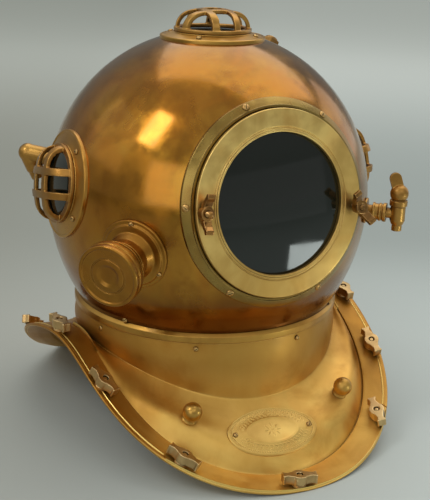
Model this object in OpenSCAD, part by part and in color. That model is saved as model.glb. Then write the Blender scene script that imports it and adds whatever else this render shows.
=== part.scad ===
// Diving helmet: a copper and brass bonnet with four windows on a twelve-stud corselet.
// Millimetres. +Z is up, the front window looks along -Y, +X is the wearer's left.
// The origin lies on the table under the axis of the bonnet.

/* [Bonnet] */
// Outer radius of the dome
dome_r = 168; // [155:1:180]
// Height of the dome's centre over the neck joint
dome_rise = 117; // [112:1:122]
// Radius of the fuller curve below the dome's widest line
flank_r = 205; // [195:1:220]
// Thickness of the spun sheet
sheet = 3; // [2:0.5:4]

/* [Neck joint] */
// Height of the neck joint over the table
neck_z = 118; // [112:1:126]
// Outer radius of the bonnet's neck ring
neck_ring_r = 141.5; // [140:0.5:145]
// Height of the visible band of the neck ring
neck_band_h = 8.7; // [7:0.1:11]
// Inner radius of the corselet's ring, the way in for the head
neck_clear_r = 124; // [118:1:125]
// Wall of the corselet ring's upstand
upstand_t = 4; // [3:0.5:4.5]
// Reach of the locking lugs
lug_reach = 3.6; // [3:0.2:4]
// Height of a locking lug
lug_h = 4.6; // [4:0.2:5.4]
// Number of locking lugs on each ring
lug_count = 4; // [3:1:5]
// Angle that one lug covers
lug_angle = 38; // [30:1:40]

/* [Corselet] */
// Radius of the crease where the collar meets the breastplate
crease_r = 140; // [138:0.5:142]
// Height of the crease at front and back
crease_front_z = 56; // [48:1:66]
// Height of the crease over the shoulders
crease_shoulder_z = 95; // [88:1:100]
// How far the collar swells between ring and crease
collar_swell = 2.2; // [0:0.2:4]
// Thickness of the corselet plate
plate = 3; // [2.5:0.5:4]
// Width of the flat brim at the front and back tips
brim_tip_w = 33.5; // [29:0.5:36]
// Width of the flat brim along the sides
brim_side_w = 26.5; // [26.5:0.5:28]
// Height of the breastplate's swell over its chord at the front and back
swell_front = 8; // [4:0.5:12]
// Height of the breastplate's swell over its chord towards the arms
swell_side = 14; // [8:0.5:16]
// Reach of the brim at the front tip
brim_front = 232; // [222:1:245]
// Reach of the brim thirty degrees round
brim_chest = 219; // [210:1:228]
// Reach of the brim sixty degrees round
brim_arm_front = 190; // [184:1:200]
// Reach of the brim at the shoulder
brim_shoulder = 178; // [177:1:186]
// Reach of the brim behind the arm
brim_arm_back = 200; // [190:1:210]
// Reach of the brim beside the back tip
brim_back_side = 212; // [204:1:222]
// Reach of the brim at the back tip
brim_back = 232; // [222:1:245]
// Height of the brim thirty degrees round
rise_chest = 21; // [16:1:28]
// Height of the brim sixty degrees round
rise_arm_front = 74; // [66:1:80]
// Height of the brim at the shoulder
rise_shoulder = 105; // [98:1:108]
// Height of the brim behind the arm
rise_arm_back = 66; // [58:1:74]
// Height of the brim beside the back tip
rise_back_side = 8; // [7:1:14]
// How deep the resting tips are cut flat
foot_cut = 0.5; // [0.3:0.1:0.8]

/* [Studs and wing nuts] */
// Distance of the studs from the brim's edge
stud_inset = 8.8; // [8.2:0.2:9.2]
// Radius of a brim stud
stud_r = 3; // [2.5:0.1:3.5]
// Height of the boss under a wing nut
boss_h = 3; // [2.5:0.1:5]
// Radius of the boss under a wing nut
boss_r = 6.5; // [5:0.5:7.5]
// Radius of a wing nut's round middle
nut_hub_r = 7.8; // [6.5:0.1:8.4]
// Height of a wing nut
nut_h = 9; // [7:0.5:11]
// Length of a wing from the stud's axis to its tip
nut_wing_l = 17; // [14:0.5:17]
// Width across the flared tip of a wing
nut_tip_w = 9.6; // [8:0.2:11]
// Width of the waist of a wing
nut_waist_w = 6.4; // [5:0.2:7.4]
// Angle of each ball stud to its side of the middle
ball_angle = 30.5; // [26:0.5:33]
// Turn of the pair of ball studs about the bonnet's axis
ball_turn = -1.5; // [-4:0.5:4]
// How far out over the breastplate the ball studs stand, as a share of its width
ball_reach = 0.59; // [0.5:0.01:0.7]
// Radius of a ball stud
ball_r = 9.5; // [7:0.5:11]
// Turn of the name plate about the bonnet's axis
chest_turn = -3.5; // [-8:0.5:0]
// How far out over the breastplate the name plate's middle lies, as a share of its width
name_reach = 0.51; // [0.46:0.01:0.58]
// Length of the oval name plate
name_l = 97; // [80:1:104]
// Height of the oval name plate, measured in plan
name_w = 40; // [30:1:44]
// Thickness of the name plate
name_t = 1.6; // [1:0.2:2.4]

/* [Front window] */
// Angle of the front window's axis above level
front_tilt = 9; // [6:0.5:12]
// Height of the door's face over the dome's skin at the door's edge
door_face = 7.36; // [5.76:0.2:10.76]
// Outer radius of the door ring
door_r = 89.4; // [86:0.2:91]
// Thickness of the door ring's flange
door_t = 5.4; // [4.5:0.1:6]
// Radius of the glass that shows
front_glass_r = 67.3; // [62:0.1:68]
// Thickness of the front glass at its edge
front_glass_t = 6; // [5:0.5:7]
// How far the front glass bulges
glass_bulge = 5; // [0.5:0.5:7]
// Outer radius of the fixed flange on the dome
flange_r = 99.5; // [97:0.5:104]
// Thickness of the flange's skirt over the dome
flange_t = 2.4; // [1.5:0.1:3]
// Radius of the circle on which the two door studs stand
door_stud_circle = 82.5; // [81.5:0.5:83]
// Angle of the wearer's left door stud below level
left_stud_drop = 7; // [0:1:10]
// Radius of a door stud
door_stud_r = 3; // [2.5:0.1:3.2]
// Length of the V-shaped door nut's wings
vee_wing_l = 18.5; // [16:0.5:20]
// Rise of the V-shaped door nut's wings
vee_rise = 13; // [10:0.5:14]
// How far the wearer's left door nut is backed off the door
left_nut_lift = 5; // [0:0.5:6]

/* [Small windows] */
// Angle of the wearer's right window round from the front
right_angle = -90; // [-94:1:-87]
// Angle of the wearer's left window round from the front
left_angle = 85; // [83:1:92]
// Turn of each side window about its own axis
side_turn = 10; // [-20:1:20]
// Angle of the side windows above level
side_tilt = 8; // [4:0.5:10]
// Outer radius of a small window's flange
small_flange_r = 53.5; // [51:0.5:58]
// Outer radius of a small window's seat and guard
guard_r = 39.5; // [37:0.5:41.5]
// Height of a guard over its seat
guard_h = 23; // [21:0.5:28]
// Radius of the round shoulder of a guard
guard_shoulder_r = 17.5; // [15:0.5:19]
// Thickness of a guard's bars
guard_t = 4; // [3:0.2:5]
// Width of a guard's bars
guard_bar_w = 7.2; // [5:0.2:8]
// Distance of a guard's bars from its middle
guard_bar_at = 11.5; // [9:0.5:13]
// Turn of the top guard's bars about the bonnet's axis
top_guard_turn = -4; // [-20:1:20]
// Thickness of a small window's glass
small_glass_t = 6; // [4:0.5:7]

/* [Exhaust valve] */
// Angle of the exhaust valve round from the front
exhaust_angle = -52; // [-56:1:-50]
// Angle of the exhaust valve above level
exhaust_tilt = -8; // [-10:0.5:-6]
// Radius of the exhaust valve's foot
exhaust_foot_r = 34; // [31:0.5:36]
// Radius of the exhaust valve's neck
exhaust_neck_r = 20; // [19.5:0.5:21.5]
// Radius of the exhaust cap
exhaust_cap_r = 30; // [28.5:0.5:31]
// How far the cap's face stands off the dome
exhaust_reach = 50; // [49:1:56]
// Radius of the air way through the exhaust valve
exhaust_bore_r = 11; // [9:0.5:11.5]
// Travel of the exhaust valve's disc
exhaust_travel = 5; // [3:0.5:6]

/* [Spitcock] */
// Angle of the spitcock round from the front
cock_angle = 45.5; // [43:0.5:50]
// Distance of the spitcock's plug from the dome
cock_reach = 33; // [30:1:40]
// Height of the spitcock's pipe over the neck joint
cock_rise = 113.5; // [111:0.5:118]
// Radius of the spitcock's pipe
cock_pipe_r = 8.4; // [7:0.2:8.6]
// Radius of the spitcock's upright barrel
cock_barrel_r = 7.6; // [6.6:0.1:8]
// Radius of the spitcock's plug
cock_plug_r = 4; // [3:0.1:4.5]
// Radius of the ball on the plug
cock_ball_r = 9.3; // [7.5:0.1:10]
// Length of the flat lever above the ball
lever_l = 22; // [14:1:26]
// Width of the flat lever
lever_w = 12; // [8:0.5:13]

/* [Air inlet and telephone gland] */
// Angle of the air inlet round from the front
inlet_angle = -129; // [-140:1:-125]
// Angle of the air inlet above level
inlet_tilt = 7.5; // [2:0.5:12]
// Turn of the inlet elbow's lower leg away from straight down
inlet_turn = -12; // [-40:2:10]
// Outer radius of the inlet elbow
elbow_r = 9.5; // [8:0.5:11]
// Distance of the elbow's knee from the dome
elbow_reach = 34.5; // [30:0.5:38]
// Lean of the lower leg towards the dome
elbow_lean = 28; // [0:2:30]
// Length of the lower leg from the knee to its end
elbow_leg = 30; // [22:1:34]
// Radius of the air way through the elbow
inlet_bore_r = 5; // [3:0.5:6]
// Radius of the inlet's connecting end
inlet_end_r = 8.5; // [7:0.5:9]
// Angle of the telephone gland round from the front
phone_angle = 122; // [118:1:126]
// Angle of the telephone gland above level
phone_tilt = 48; // [44:1:52]
// Radius of the telephone gland's foot
phone_foot_r = 22; // [19:0.5:25]
// Radius of the cable hole
phone_bore_r = 4; // [3:0.1:5]
// Height of the gland's body over the dome
phone_h = 20; // [16:0.5:24]

/* [Fits] */
// Gap between pieces that move past each other
gap = 0.3; // [0.2:0.05:0.4]
// Radial clearance of a running fit
run_fit = 0.08; // [0.05:0.01:0.1]
// Thickness of the rubber and leather gaskets
gasket_t = 1.5; // [1:0.1:2]

/* [Hidden] */
$fn = 96;

brass = [0.72, 0.53, 0.24];
dark_brass = [0.55, 0.39, 0.17];
green_brass = [0.62, 0.55, 0.28];
copper = [0.66, 0.42, 0.16];
seal_black = [0.12, 0.12, 0.11];
glass_green = [0.12, 0.16, 0.14, 0.6];

far = 400;
dome_z = neck_z + dome_rise;
flank_x = dome_r - flank_r;

// Outline of the dome grown by e, open downwards to the depth drop under the centre.
module dome_outline(e, drop) {
  intersection() {
    circle(r = dome_r + e, $fn = 180);
    square([far, far]);
  }
  intersection() {
    translate([flank_x, 0]) circle(r = flank_r + e, $fn = 240);
    translate([0, -drop]) square([far, drop]);
  }
}

module dome_solid(e, drop = dome_rise) {
  translate([0, 0, dome_z]) rotate_extrude($fn = 180) dome_outline(e, drop);
}

// Puts children on the line from the dome's centre that points az round and el up.
module at_dir(az, el) {
  translate([0, 0, dome_z]) rotate([0, 0, az]) rotate([90 - el, 0, 0]) children();
}

module ring(r1, r2, z1, z2) {
  difference() {
    translate([0, 0, z1]) cylinder(r = r2, h = z2 - z1);
    translate([0, 0, z1 - 1]) cylinder(r = r1, h = z2 - z1 + 2);
  }
}

module rod(r, z1, z2) {
  translate([0, 0, z1]) cylinder(r = r, h = z2 - z1);
}

// Height of the dome's skin at the distance d from the axis of a fitting.
function skin(d) = sqrt(dome_r * dome_r - d * d);

// Distance of the dome's skin from its centre in the direction e above level.
function hull(e) = e >= 0 ? dome_r
  : flank_x * cos(e) + sqrt(flank_r * flank_r - pow(flank_x * sin(e), 2));

// A skirt that follows the dome, from the radius r1 to r2 round a fitting's axis.
module skirt(az, el, r1, r2, t) {
  difference() {
    intersection() {
      dome_solid(t);
      at_dir(az, el) rod(r2, dome_r * 0.5, dome_r + 40);
    }
    dome_solid(0, dome_rise + 1);
    at_dir(az, el) rod(r1, dome_r * 0.4, dome_r + 50);
  }
}

// A slotted screw head with a shank that ends at the bottom of its skirt.
module slot_screw(r, h, shank_r, shank_l, turn) {
  difference() {
    union() {
      cylinder(r = r, h = h * 0.45, $fn = 32);
      translate([0, 0, h * 0.45]) cylinder(r1 = r, r2 = r * 0.72, h = h * 0.55, $fn = 32);
    }
    rotate([0, 0, turn]) translate([-r - 1, -r * 0.14, h * 0.55]) cube([2 * r + 2, r * 0.28, h]);
  }
  translate([0, 0, -shank_l]) cylinder(r = shank_r, h = shank_l, $fn = 24);
}

// Places a screw on a skirt of thickness t at the distance d from the fitting's axis.
module on_skirt(az, el, d, angle, t) {
  tip = asin(d / dome_r);
  e = asin(sin(el) * cos(tip) + cos(el) * sin(tip) * sin(angle));
  at_dir(az, el) rotate([0, 0, angle]) rotate([0, tip, 0]) translate([0, 0, hull(e) + t]) children();
}

/* Neck joint */

ring_floor = neck_z + gap;
ring_top = neck_z + neck_band_h;
shell_drop = dome_rise - neck_band_h;
upstand_r = neck_clear_r + upstand_t;
female_r = upstand_r + lug_reach + 2 * gap;
shell_foot_r = flank_x + sqrt(flank_r * flank_r - shell_drop * shell_drop);
collar_r = neck_ring_r - 2.7;
male_lug_z = neck_z + 6;
neck_screw_r = 2.4;

module lugs(r1, r2, z, h) {
  for (i = [0 : lug_count - 1])
    rotate([0, 0, i * 360 / lug_count - lug_angle / 2])
      translate([0, 0, z]) rotate_extrude(angle = lug_angle) translate([r1, 0]) square([r2 - r1, h]);
}

module neck_window_hole(az, el, r) {
  at_dir(az, el) rod(r, dome_r * 0.5, dome_r + 60);
}

seat_r = door_r + 3;
seat_lip_r = door_r + 0.6;
small_seat_r = guard_r;
exhaust_hole_r = exhaust_bore_r + 5;
cock_tilt = asin((cock_rise - dome_rise) / dome_r);
cock_hole_r = 6;
inlet_hole_r = elbow_r + 3;
phone_hole_r = 8;

module bonnet_shell() color(copper) difference() {
  dome_solid(0, shell_drop);
  dome_solid(-sheet, dome_rise + 1);
  neck_window_hole(0, front_tilt, seat_r);
  for (a = [right_angle, left_angle]) neck_window_hole(a, side_tilt, small_seat_r);
  neck_window_hole(0, 90, small_seat_r);
  neck_window_hole(exhaust_angle, exhaust_tilt, exhaust_hole_r);
  neck_window_hole(cock_angle, cock_tilt, cock_hole_r);
  neck_window_hole(inlet_angle, inlet_tilt, inlet_hole_r);
  neck_window_hole(phone_angle, phone_tilt, phone_hole_r);
}

module bonnet_ring() color(brass) {
  ring(female_r, neck_ring_r, ring_floor, ring_top);
  ring(female_r, shell_foot_r - sheet - 0.2, ring_top, ring_top + 3.5);
  lugs(upstand_r + gap, female_r + 0.5, ring_floor + 0.9, male_lug_z - ring_floor - 0.9 - gap);
}

// Round-headed screws at the given angles on a circle of radius r, their heads outwards.
module neck_screws(r, z, angles, depth) {
  for (a = angles)
    rotate([0, 0, a]) translate([0, -r, z]) rotate([90, 0, 0]) {
      intersection() {
        translate([0, 0, -1]) sphere(r = neck_screw_r + 0.6, $fn = 32);
        cylinder(r = neck_screw_r + 1, h = 4, $fn = 32);
      }
      translate([0, 0, -depth]) cylinder(r = 1.2, h = depth, $fn = 24);
    }
}

bonnet_screw_z = ring_top + 4.2;
bonnet_screw_drop = dome_z - bonnet_screw_z;
bonnet_screw_at = flank_x + sqrt(flank_r * flank_r - bonnet_screw_drop * bonnet_screw_drop);

module bonnet_ring_screws() color(brass)
  neck_screws(bonnet_screw_at - 0.4, bonnet_screw_z, [-62, 42, 118, -138], 1.4);

module corselet_ring() color(dark_brass) {
  difference() {
    ring(neck_clear_r, collar_r - plate - 0.1, neck_z - 4 * upstand_t, neck_z - 0.4);
    ring(collar_r - plate - 6, collar_r - plate - 2, neck_z - 0.4 - gasket_t, neck_z + 1);
  }
  ring(neck_clear_r, upstand_r, neck_z - 1, male_lug_z + lug_h + 1.4);
  lugs(upstand_r - 0.5, upstand_r + lug_reach, male_lug_z, lug_h);
}

module neck_gasket() color(seal_black)
  ring(collar_r - plate - 5.8, collar_r - plate - 2.2, neck_z - 0.4 - gasket_t, neck_z);

module corselet_ring_screws() color(brass)
  neck_screws(collar_r + collar_swell * 0.6, neck_z - 5.6, [-31, 14, 59, 149, -166, -76], 2.4);

/* Corselet plate */

collar_steps = 4;
chest_steps = 8;
sections = 72;
tip_z = plate - foot_cut;

reach_at = [brim_front, brim_chest, brim_arm_front, brim_shoulder,
  brim_arm_back, brim_back_side, brim_back];
rise_at = [tip_z, rise_chest, rise_arm_front, rise_shoulder, rise_arm_back, rise_back_side, tip_z];
last = len(reach_at) - 1;

function total(v, i = 0) = i == len(v) ? 0 : v[i] + total(v, i + 1);

// Cosine terms of the smooth line through values given every thirty degrees.
function wave(v) = [for (k = [0 : last])
  (k == 0 || k == last ? 1 : 2) / last
  * (v[0] / 2 + v[last] / 2 * cos(180 * k)
     + total([for (j = [1 : last - 1]) v[j] * cos(180 * k * j / last)]))];
function along(w, a) = total([for (k = [0 : last]) w[k] * cos(k * a)]);

reach_wave = wave(reach_at);
rise_wave = wave(rise_at);
function reach(a) = along(reach_wave, a);
function rise(a) = along(rise_wave, a);
function crease_z(a) = (crease_front_z + crease_shoulder_z) / 2
  + (crease_front_z - crease_shoulder_z) / 2 * cos(2 * a);
function tip_share(a) = pow(abs(cos(a)), 6);
function brim_w(a) = brim_side_w + (brim_tip_w - brim_side_w) * tip_share(a);
function chest_l(a) = reach(a) - brim_w(a) - crease_r;
function swell(a) = min(swell_side + (swell_front - swell_side) * tip_share(a), 0.55 * chest_l(a));

// Height of the top face of breastplate and brim at the radius r and the angle a.
function top_z(r, a) = let (s = (r - crease_r) / chest_l(a))
  s >= 1 ? rise(a)
  : s <= 0 ? crease_z(a)
  : (1 - s) * crease_z(a) + s * rise(a) + swell(a) * sin(180 * pow(s, 2.2));
function angle_of(x, y) = atan2(x, -y);
function top_xy(x, y) = top_z(norm([x, y]), angle_of(x, y));
function spot(r, a) = [r * sin(a), -r * cos(a)];
function unit(v) = v / norm(v);

// Outward direction of the top face, taken over the span e.
function face_dir(p, e) = unit([
  (top_xy(p[0] - e, p[1]) - top_xy(p[0] + e, p[1])) / (2 * e),
  (top_xy(p[0], p[1] - e) - top_xy(p[0], p[1] + e)) / (2 * e), 1]);

// One section of the plate as a closed loop of [r, z] points, top face first.
function collar_line(a) = [for (i = [0 : collar_steps]) let (s = i / collar_steps)
  [collar_r + (crease_r - collar_r) * s + collar_swell * sin(180 * s),
   (neck_z - 0.4) * (1 - s) + crease_z(a) * s]];
function chest_line(a) = [for (i = [1 : chest_steps]) let (r = crease_r + chest_l(a) * i / chest_steps)
  [r, top_z(r, a)]];
function brim_line(a) = [for (i = [1 : 3]) [reach(a) - brim_w(a) * (1 - i / 3), rise(a)]];
function plate_loop(a) = let (
    collar = collar_line(a), top = concat(chest_line(a), brim_line(a)), n = len(top),
    under_collar = [for (i = [0 : collar_steps]) collar[i] - [plate, i == collar_steps ? plate : 0]],
    under = [for (i = [0 : n - 1]) top[i] - [0, plate]])
  concat(collar, top, [for (i = [n - 1 : -1 : 0]) under[i]],
    [for (i = [collar_steps : -1 : 0]) under_collar[i]]);

// Faces of a closed ring of n sections with k points each.
function ring_faces(n, k) = [for (i = [0 : n - 1], j = [0 : k - 1])
  let (a = i * k + j, b = i * k + (j + 1) % k, c = ((i + 1) % n) * k + (j + 1) % k,
    d = ((i + 1) % n) * k + j)
  each [[a, c, b], [a, d, c]]];

module corselet_plate() color(brass) {
  loops = [for (i = [0 : sections - 1]) plate_loop(i * 360 / sections)];
  points = [for (i = [0 : sections - 1]) let (a = i * 360 / sections)
    for (p = loops[i]) [p[0] * sin(a), -p[0] * cos(a), p[1]]];
  intersection() {
    polyhedron(points, ring_faces(sections, len(loops[0])), convexity = 8);
    translate([-far, -far, 0]) cube([2 * far, 2 * far, far]);
  }
}

/* Studs, wing nuts, ball studs and name plate */

stud_angles = [-3, 33, 57, 81, 116, 148, 180, -148, -118, -89, -61, -33];
wing_turns = [-15, 40, 25, 6, 10, -8, 0, 12, -20, 4, -3, -20];
stud_l = boss_h + nut_h - 0.6;

// Puts children on the top face at the plan point p, with their +Z along the face's normal
// and their +X along the brim.
module on_plate(p, e = 6) {
  n = face_dir(p, e);
  a = angle_of(p[0], p[1]);
  t = [cos(a), sin(a), 0];
  u = unit(t - n * (t * n));
  v = cross(n, u);
  multmatrix([[u[0], v[0], n[0], p[0]], [u[1], v[1], n[1], p[1]],
    [u[2], v[2], n[2], top_xy(p[0], p[1])], [0, 0, 0, 1]]) children();
}

function stud_spot(i) = spot(reach(stud_angles[i]) - stud_inset, stud_angles[i]);

module corselet_studs() color(dark_brass)
  for (i = [0 : len(stud_angles) - 1]) on_plate(stud_spot(i), 10) {
    rod(boss_r, -1.2, boss_h);
    rod(stud_r, boss_h - 0.5, stud_l - 1);
    translate([0, 0, stud_l - 1]) cylinder(r1 = stud_r, r2 = stud_r * 0.6, h = 1);
  }

// Outline of a cast butterfly nut: round middle, drawn-in waists and flared square tips.
wing_edge = [
  [nut_hub_r * 0.75, -nut_hub_r * 0.66], [nut_wing_l * 0.66, -nut_waist_w / 2],
  [nut_wing_l * 0.82, -nut_waist_w / 2 - 0.2], [nut_wing_l - 1, -nut_tip_w / 2],
  [nut_wing_l, -nut_tip_w / 2 + 1], [nut_wing_l - 0.5, 0], [nut_wing_l, nut_tip_w / 2 - 1],
  [nut_wing_l - 1, nut_tip_w / 2], [nut_wing_l * 0.82, nut_waist_w / 2 + 0.2],
  [nut_wing_l * 0.66, nut_waist_w / 2], [nut_hub_r * 0.75, nut_hub_r * 0.66]];

module butterfly() {
  circle(r = nut_hub_r, $fn = 64);
  polygon(concat(wing_edge, [for (p = wing_edge) -p]));
}

module wing_nut(i) color(brass) on_plate(stud_spot(i), 10) rotate([0, 0, wing_turns[i]])
  translate([0, 0, boss_h + gap]) difference() {
    linear_extrude(nut_h) butterfly();
    rod(stud_r + run_fit, -1, nut_h + 1);
  }

function over_chest(share, a) = crease_r + share * chest_l(a);
ball_spots = [for (s = [-1, 1]) let (a = ball_turn + s * ball_angle) spot(over_chest(ball_reach, a), a)];
name_at = over_chest(name_reach, chest_turn);

module ball_studs() color(brass) for (p = ball_spots) on_plate(p) {
  rod(ball_r * 0.62, -1.4, ball_r * 0.7);
  translate([0, 0, ball_r * 1.12]) sphere(r = ball_r, $fn = 64);
}

name_rings = 5;
name_sides = 48;
function name_point(i, j, t) = let (f = i / name_rings, q = 360 * j / name_sides,
    across = name_l / 2 * f * cos(q), out = name_at + name_w / 2 * f * sin(q),
    x = across * cos(chest_turn) + out * sin(chest_turn),
    y = across * sin(chest_turn) - out * cos(chest_turn))
  [x, y, top_xy(x, y) + t];

// The oval plate, bent over the chest: rings of points on top and under it.
module name_plate() color(green_brass) {
  n = name_sides;
  top = concat([name_point(0, 0, name_t)],
    [for (i = [1 : name_rings], j = [0 : n - 1]) name_point(i, j, name_t)]);
  under = concat([name_point(0, 0, 0.05)],
    [for (i = [1 : name_rings], j = [0 : n - 1]) name_point(i, j, 0.05)]);
  k = len(top);
  rim = (name_rings - 1) * n + 1;
  polyhedron(concat(top, under), concat(
    [for (j = [0 : n - 1]) [0, 1 + j, 1 + (j + 1) % n]],
    [for (i = [0 : name_rings - 2], j = [0 : n - 1])
      let (a = 1 + i * n + j, b = 1 + i * n + (j + 1) % n) each [[a, b + n, b], [a, a + n, b + n]]],
    [for (j = [0 : n - 1]) [k, k + 1 + (j + 1) % n, k + 1 + j]],
    [for (i = [0 : name_rings - 2], j = [0 : n - 1])
      let (a = k + 1 + i * n + j, b = k + 1 + i * n + (j + 1) % n)
      each [[a, b, b + n], [a, b + n, a + n]]],
    [for (j = [0 : n - 1]) let (a = rim + j, b = rim + (j + 1) % n)
      each [[a, b + k, b], [a, a + k, b + k]]]));
}

module name_plate_screws() color(brass)
  for (s = [-1, 1]) {
    across = s * (name_l / 2 - 8);
    p = [across * cos(chest_turn) + name_at * sin(chest_turn),
      across * sin(chest_turn) - name_at * cos(chest_turn)];
    on_plate(p) translate([0, 0, name_t]) intersection() {
      translate([0, 0, -0.8]) sphere(r = 2.6, $fn = 32);
      cylinder(r = 3, h = 3, $fn = 32);
    }
  }

/* Front window */

face_z = skin(door_r) + door_face;
door_back = face_z - door_t;
seat_face = door_back - gasket_t - 0.2;
seat_depth = 14;
bezel_r = front_glass_r + 2.2;
sleeve_r = bezel_r + 3;
flange_bore_r = sleeve_r + 1;
glass_front = face_z - 4;
glass_back = glass_front - front_glass_t;
bulge_r = (bezel_r * bezel_r + glass_bulge * glass_bulge) / (2 * glass_bulge);
door_stud_angles = [180, -left_stud_drop];
flange_screw_angles = [56, 108, 177, 235, 296, 356];
flange_screw_r = 4;

module at_door_studs() at_dir(0, front_tilt) for (a = door_stud_angles)
  rotate([0, 0, a]) translate([door_stud_circle, 0, 0]) children();

module front_flange() color(green_brass) difference() {
  union() {
    skirt(0, front_tilt, seat_r - 0.5, flange_r, flange_t);
    at_dir(0, front_tilt) {
      ring(flange_bore_r, seat_r, seat_face - seat_depth, seat_face);
      ring(seat_lip_r, seat_r, seat_face - 1, seat_face + 2.6);
    }
  }
  at_door_studs() rod(door_stud_r, seat_face - 10, seat_face + 20);
}

module front_flange_screws() color(brass)
  for (a = flange_screw_angles)
    on_skirt(0, front_tilt, (seat_r + flange_r) / 2, a, flange_t) slot_screw(flange_screw_r * 0.9, 2, 1.5, 2.2, 20);

module front_gasket() color(seal_black)
  at_dir(0, front_tilt) ring(flange_bore_r + 0.5, door_stud_circle - door_stud_r - 1.5, seat_face,
    seat_face + gasket_t);

module front_door_ring() color(brass) difference() {
  at_dir(0, front_tilt) difference() {
    union() {
      rod(door_r, door_back, face_z);
      rod(sleeve_r, glass_back - 2.5, door_back + 1);
    }
    rod(front_glass_r - 2, glass_back - 5, face_z + 1);
    rod(bezel_r + 0.1, glass_back, face_z + 1);
  }
  at_door_studs() rod(door_stud_r + gap, door_back - 1, face_z + 1);
}

module front_glass() color(glass_green) at_dir(0, front_tilt) {
  rod(bezel_r, glass_back, glass_front);
  intersection() {
    rod(bezel_r - 0.01, glass_front - 0.5, glass_front + glass_bulge + 1);
    translate([0, 0, glass_front + glass_bulge - bulge_r]) sphere(r = bulge_r, $fn = 360);
  }
}

module front_glass_bezel() color(brass) at_dir(0, front_tilt) difference() {
  rod(bezel_r, glass_front + 0.1, face_z + 0.7);
  rod(front_glass_r, glass_front - 1, face_z + 2);
  translate([0, 0, glass_front + glass_bulge - bulge_r]) sphere(r = bulge_r + 0.1, $fn = 360);
}

vee_hub_r = 6.6;
vee_hub_h = 9;
door_stud_top = face_z + gap + left_nut_lift + vee_hub_h + 1.5;

module door_studs() color(dark_brass) at_door_studs() {
  rod(door_stud_r, seat_face - 10, door_stud_top - 1);
  translate([0, 0, door_stud_top - 1]) cylinder(r1 = door_stud_r, r2 = door_stud_r * 0.6, h = 1);
}

// A cast nut whose two wings rise in a V and end in small square tips.
module vee_nut(at, turn, lift) color(dark_brass)
  at_dir(0, front_tilt) rotate([0, 0, at]) translate([door_stud_circle, 0, face_z + gap + lift])
    rotate([0, 0, turn - at])
    difference() {
      union() {
        rod(vee_hub_r, 0, vee_hub_h);
        rotate([90, 0, 0]) translate([0, 0, -4]) linear_extrude(8) for (s = [-1, 1]) scale([s, 1])
          polygon([[0, 1], [vee_hub_r + 1.5, 1.4], [vee_wing_l - 3, vee_rise - 3.4],
            [vee_wing_l, vee_rise - 1.6], [vee_wing_l - 0.4, vee_rise + 1.6],
            [vee_wing_l - 4.2, vee_rise + 1.8], [vee_wing_l - 7, vee_rise - 1.4],
            [vee_hub_r - 0.4, vee_hub_h - 1], [0, vee_hub_h - 0.5]]);
      }
      rod(door_stud_r + run_fit, -1, vee_hub_h + 12);
    }

/* Small windows */

// Everything of a small window is drawn on its own axis, from the seat outwards.
small_seat_face = skin(guard_r) + 3.2;
small_glass_r = guard_r - 4;
small_bore_r = guard_r - 8;
guard_foot = small_seat_face + 0.1;
cage_r = guard_r - 1.5;
shoulder_x = cage_r - guard_shoulder_r;
shoulder_z = 3;
crown_drop = guard_h - shoulder_z;
crown_r = (crown_drop * crown_drop + shoulder_x * shoulder_x - guard_shoulder_r * guard_shoulder_r)
  / (2 * (crown_drop - guard_shoulder_r));
crown_tip = atan2(shoulder_x, crown_r - crown_drop);

module small_flange(az, el, r = small_flange_r) color(brass) {
  skirt(az, el, small_seat_r - 0.5, r, 2.4);
  skirt(az, el, r - 2.6, r, 3.2);
  at_dir(az, el) difference() {
    ring(small_bore_r, small_seat_r, skin(guard_r) - 9, small_seat_face);
    rod(small_glass_r + 0.1, small_seat_face - small_glass_t, small_seat_face + 1);
  }
}

module small_glass(az, el) color(glass_green)
  at_dir(az, el) rod(small_glass_r, small_seat_face - small_glass_t, small_seat_face);

// Half outline of a guard drawn in by e: a flat crown that runs into round shoulders.
module cage_outline(e) {
  intersection() {
    translate([shoulder_x, shoulder_z]) circle(r = guard_shoulder_r - e, $fn = 120);
    square([far, far]);
  }
  intersection() {
    translate([0, guard_h - crown_r]) circle(r = crown_r - e, $fn = 720);
    translate([0, guard_h - crown_r]) polygon([[0, 0], [far * sin(crown_tip), far * cos(crown_tip)], [0, far]]);
    square([far, far]);
  }
  square([shoulder_x + 1, guard_h - 8]);
}

module cage_shell() translate([0, 0, guard_foot]) rotate_extrude($fn = 120) difference() {
  cage_outline(0);
  translate([-0.01, -0.01]) cage_outline(guard_t);
}

module guard(az, el, turn = 0) color(brass) at_dir(az, el) rotate([0, 0, turn]) {
  ring(small_bore_r + 1, guard_r, guard_foot, guard_foot + 4);
  intersection() {
    cage_shell();
    union() for (s = [-1, 1]) {
      translate([s * guard_bar_at - guard_bar_w / 2, -far / 2, 0]) cube([guard_bar_w, far, far]);
      translate([-far / 2, s * guard_bar_at - guard_bar_w / 2, 0]) cube([far, guard_bar_w, far]);
    }
  }
}

module small_screws(az, el, turn = 0) color(brass)
  for (a = [45 : 90 : 315]) on_skirt(az, el, (small_seat_r + small_flange_r - 2.6) / 2, a + turn, 2.4) slot_screw(2.9, 1.8, 1.3, 2.2, 30);

/* Exhaust valve */

cap_face = dome_r + exhaust_reach;
cap_back = cap_face - 20;
exhaust_seat = dome_r + 20;
exhaust_mouth = exhaust_seat + 12;
disc_r = exhaust_bore_r + 2;
chamber_r = disc_r + 2.6;
button_z = dome_r - 22;
stem_r = 3;

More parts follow.
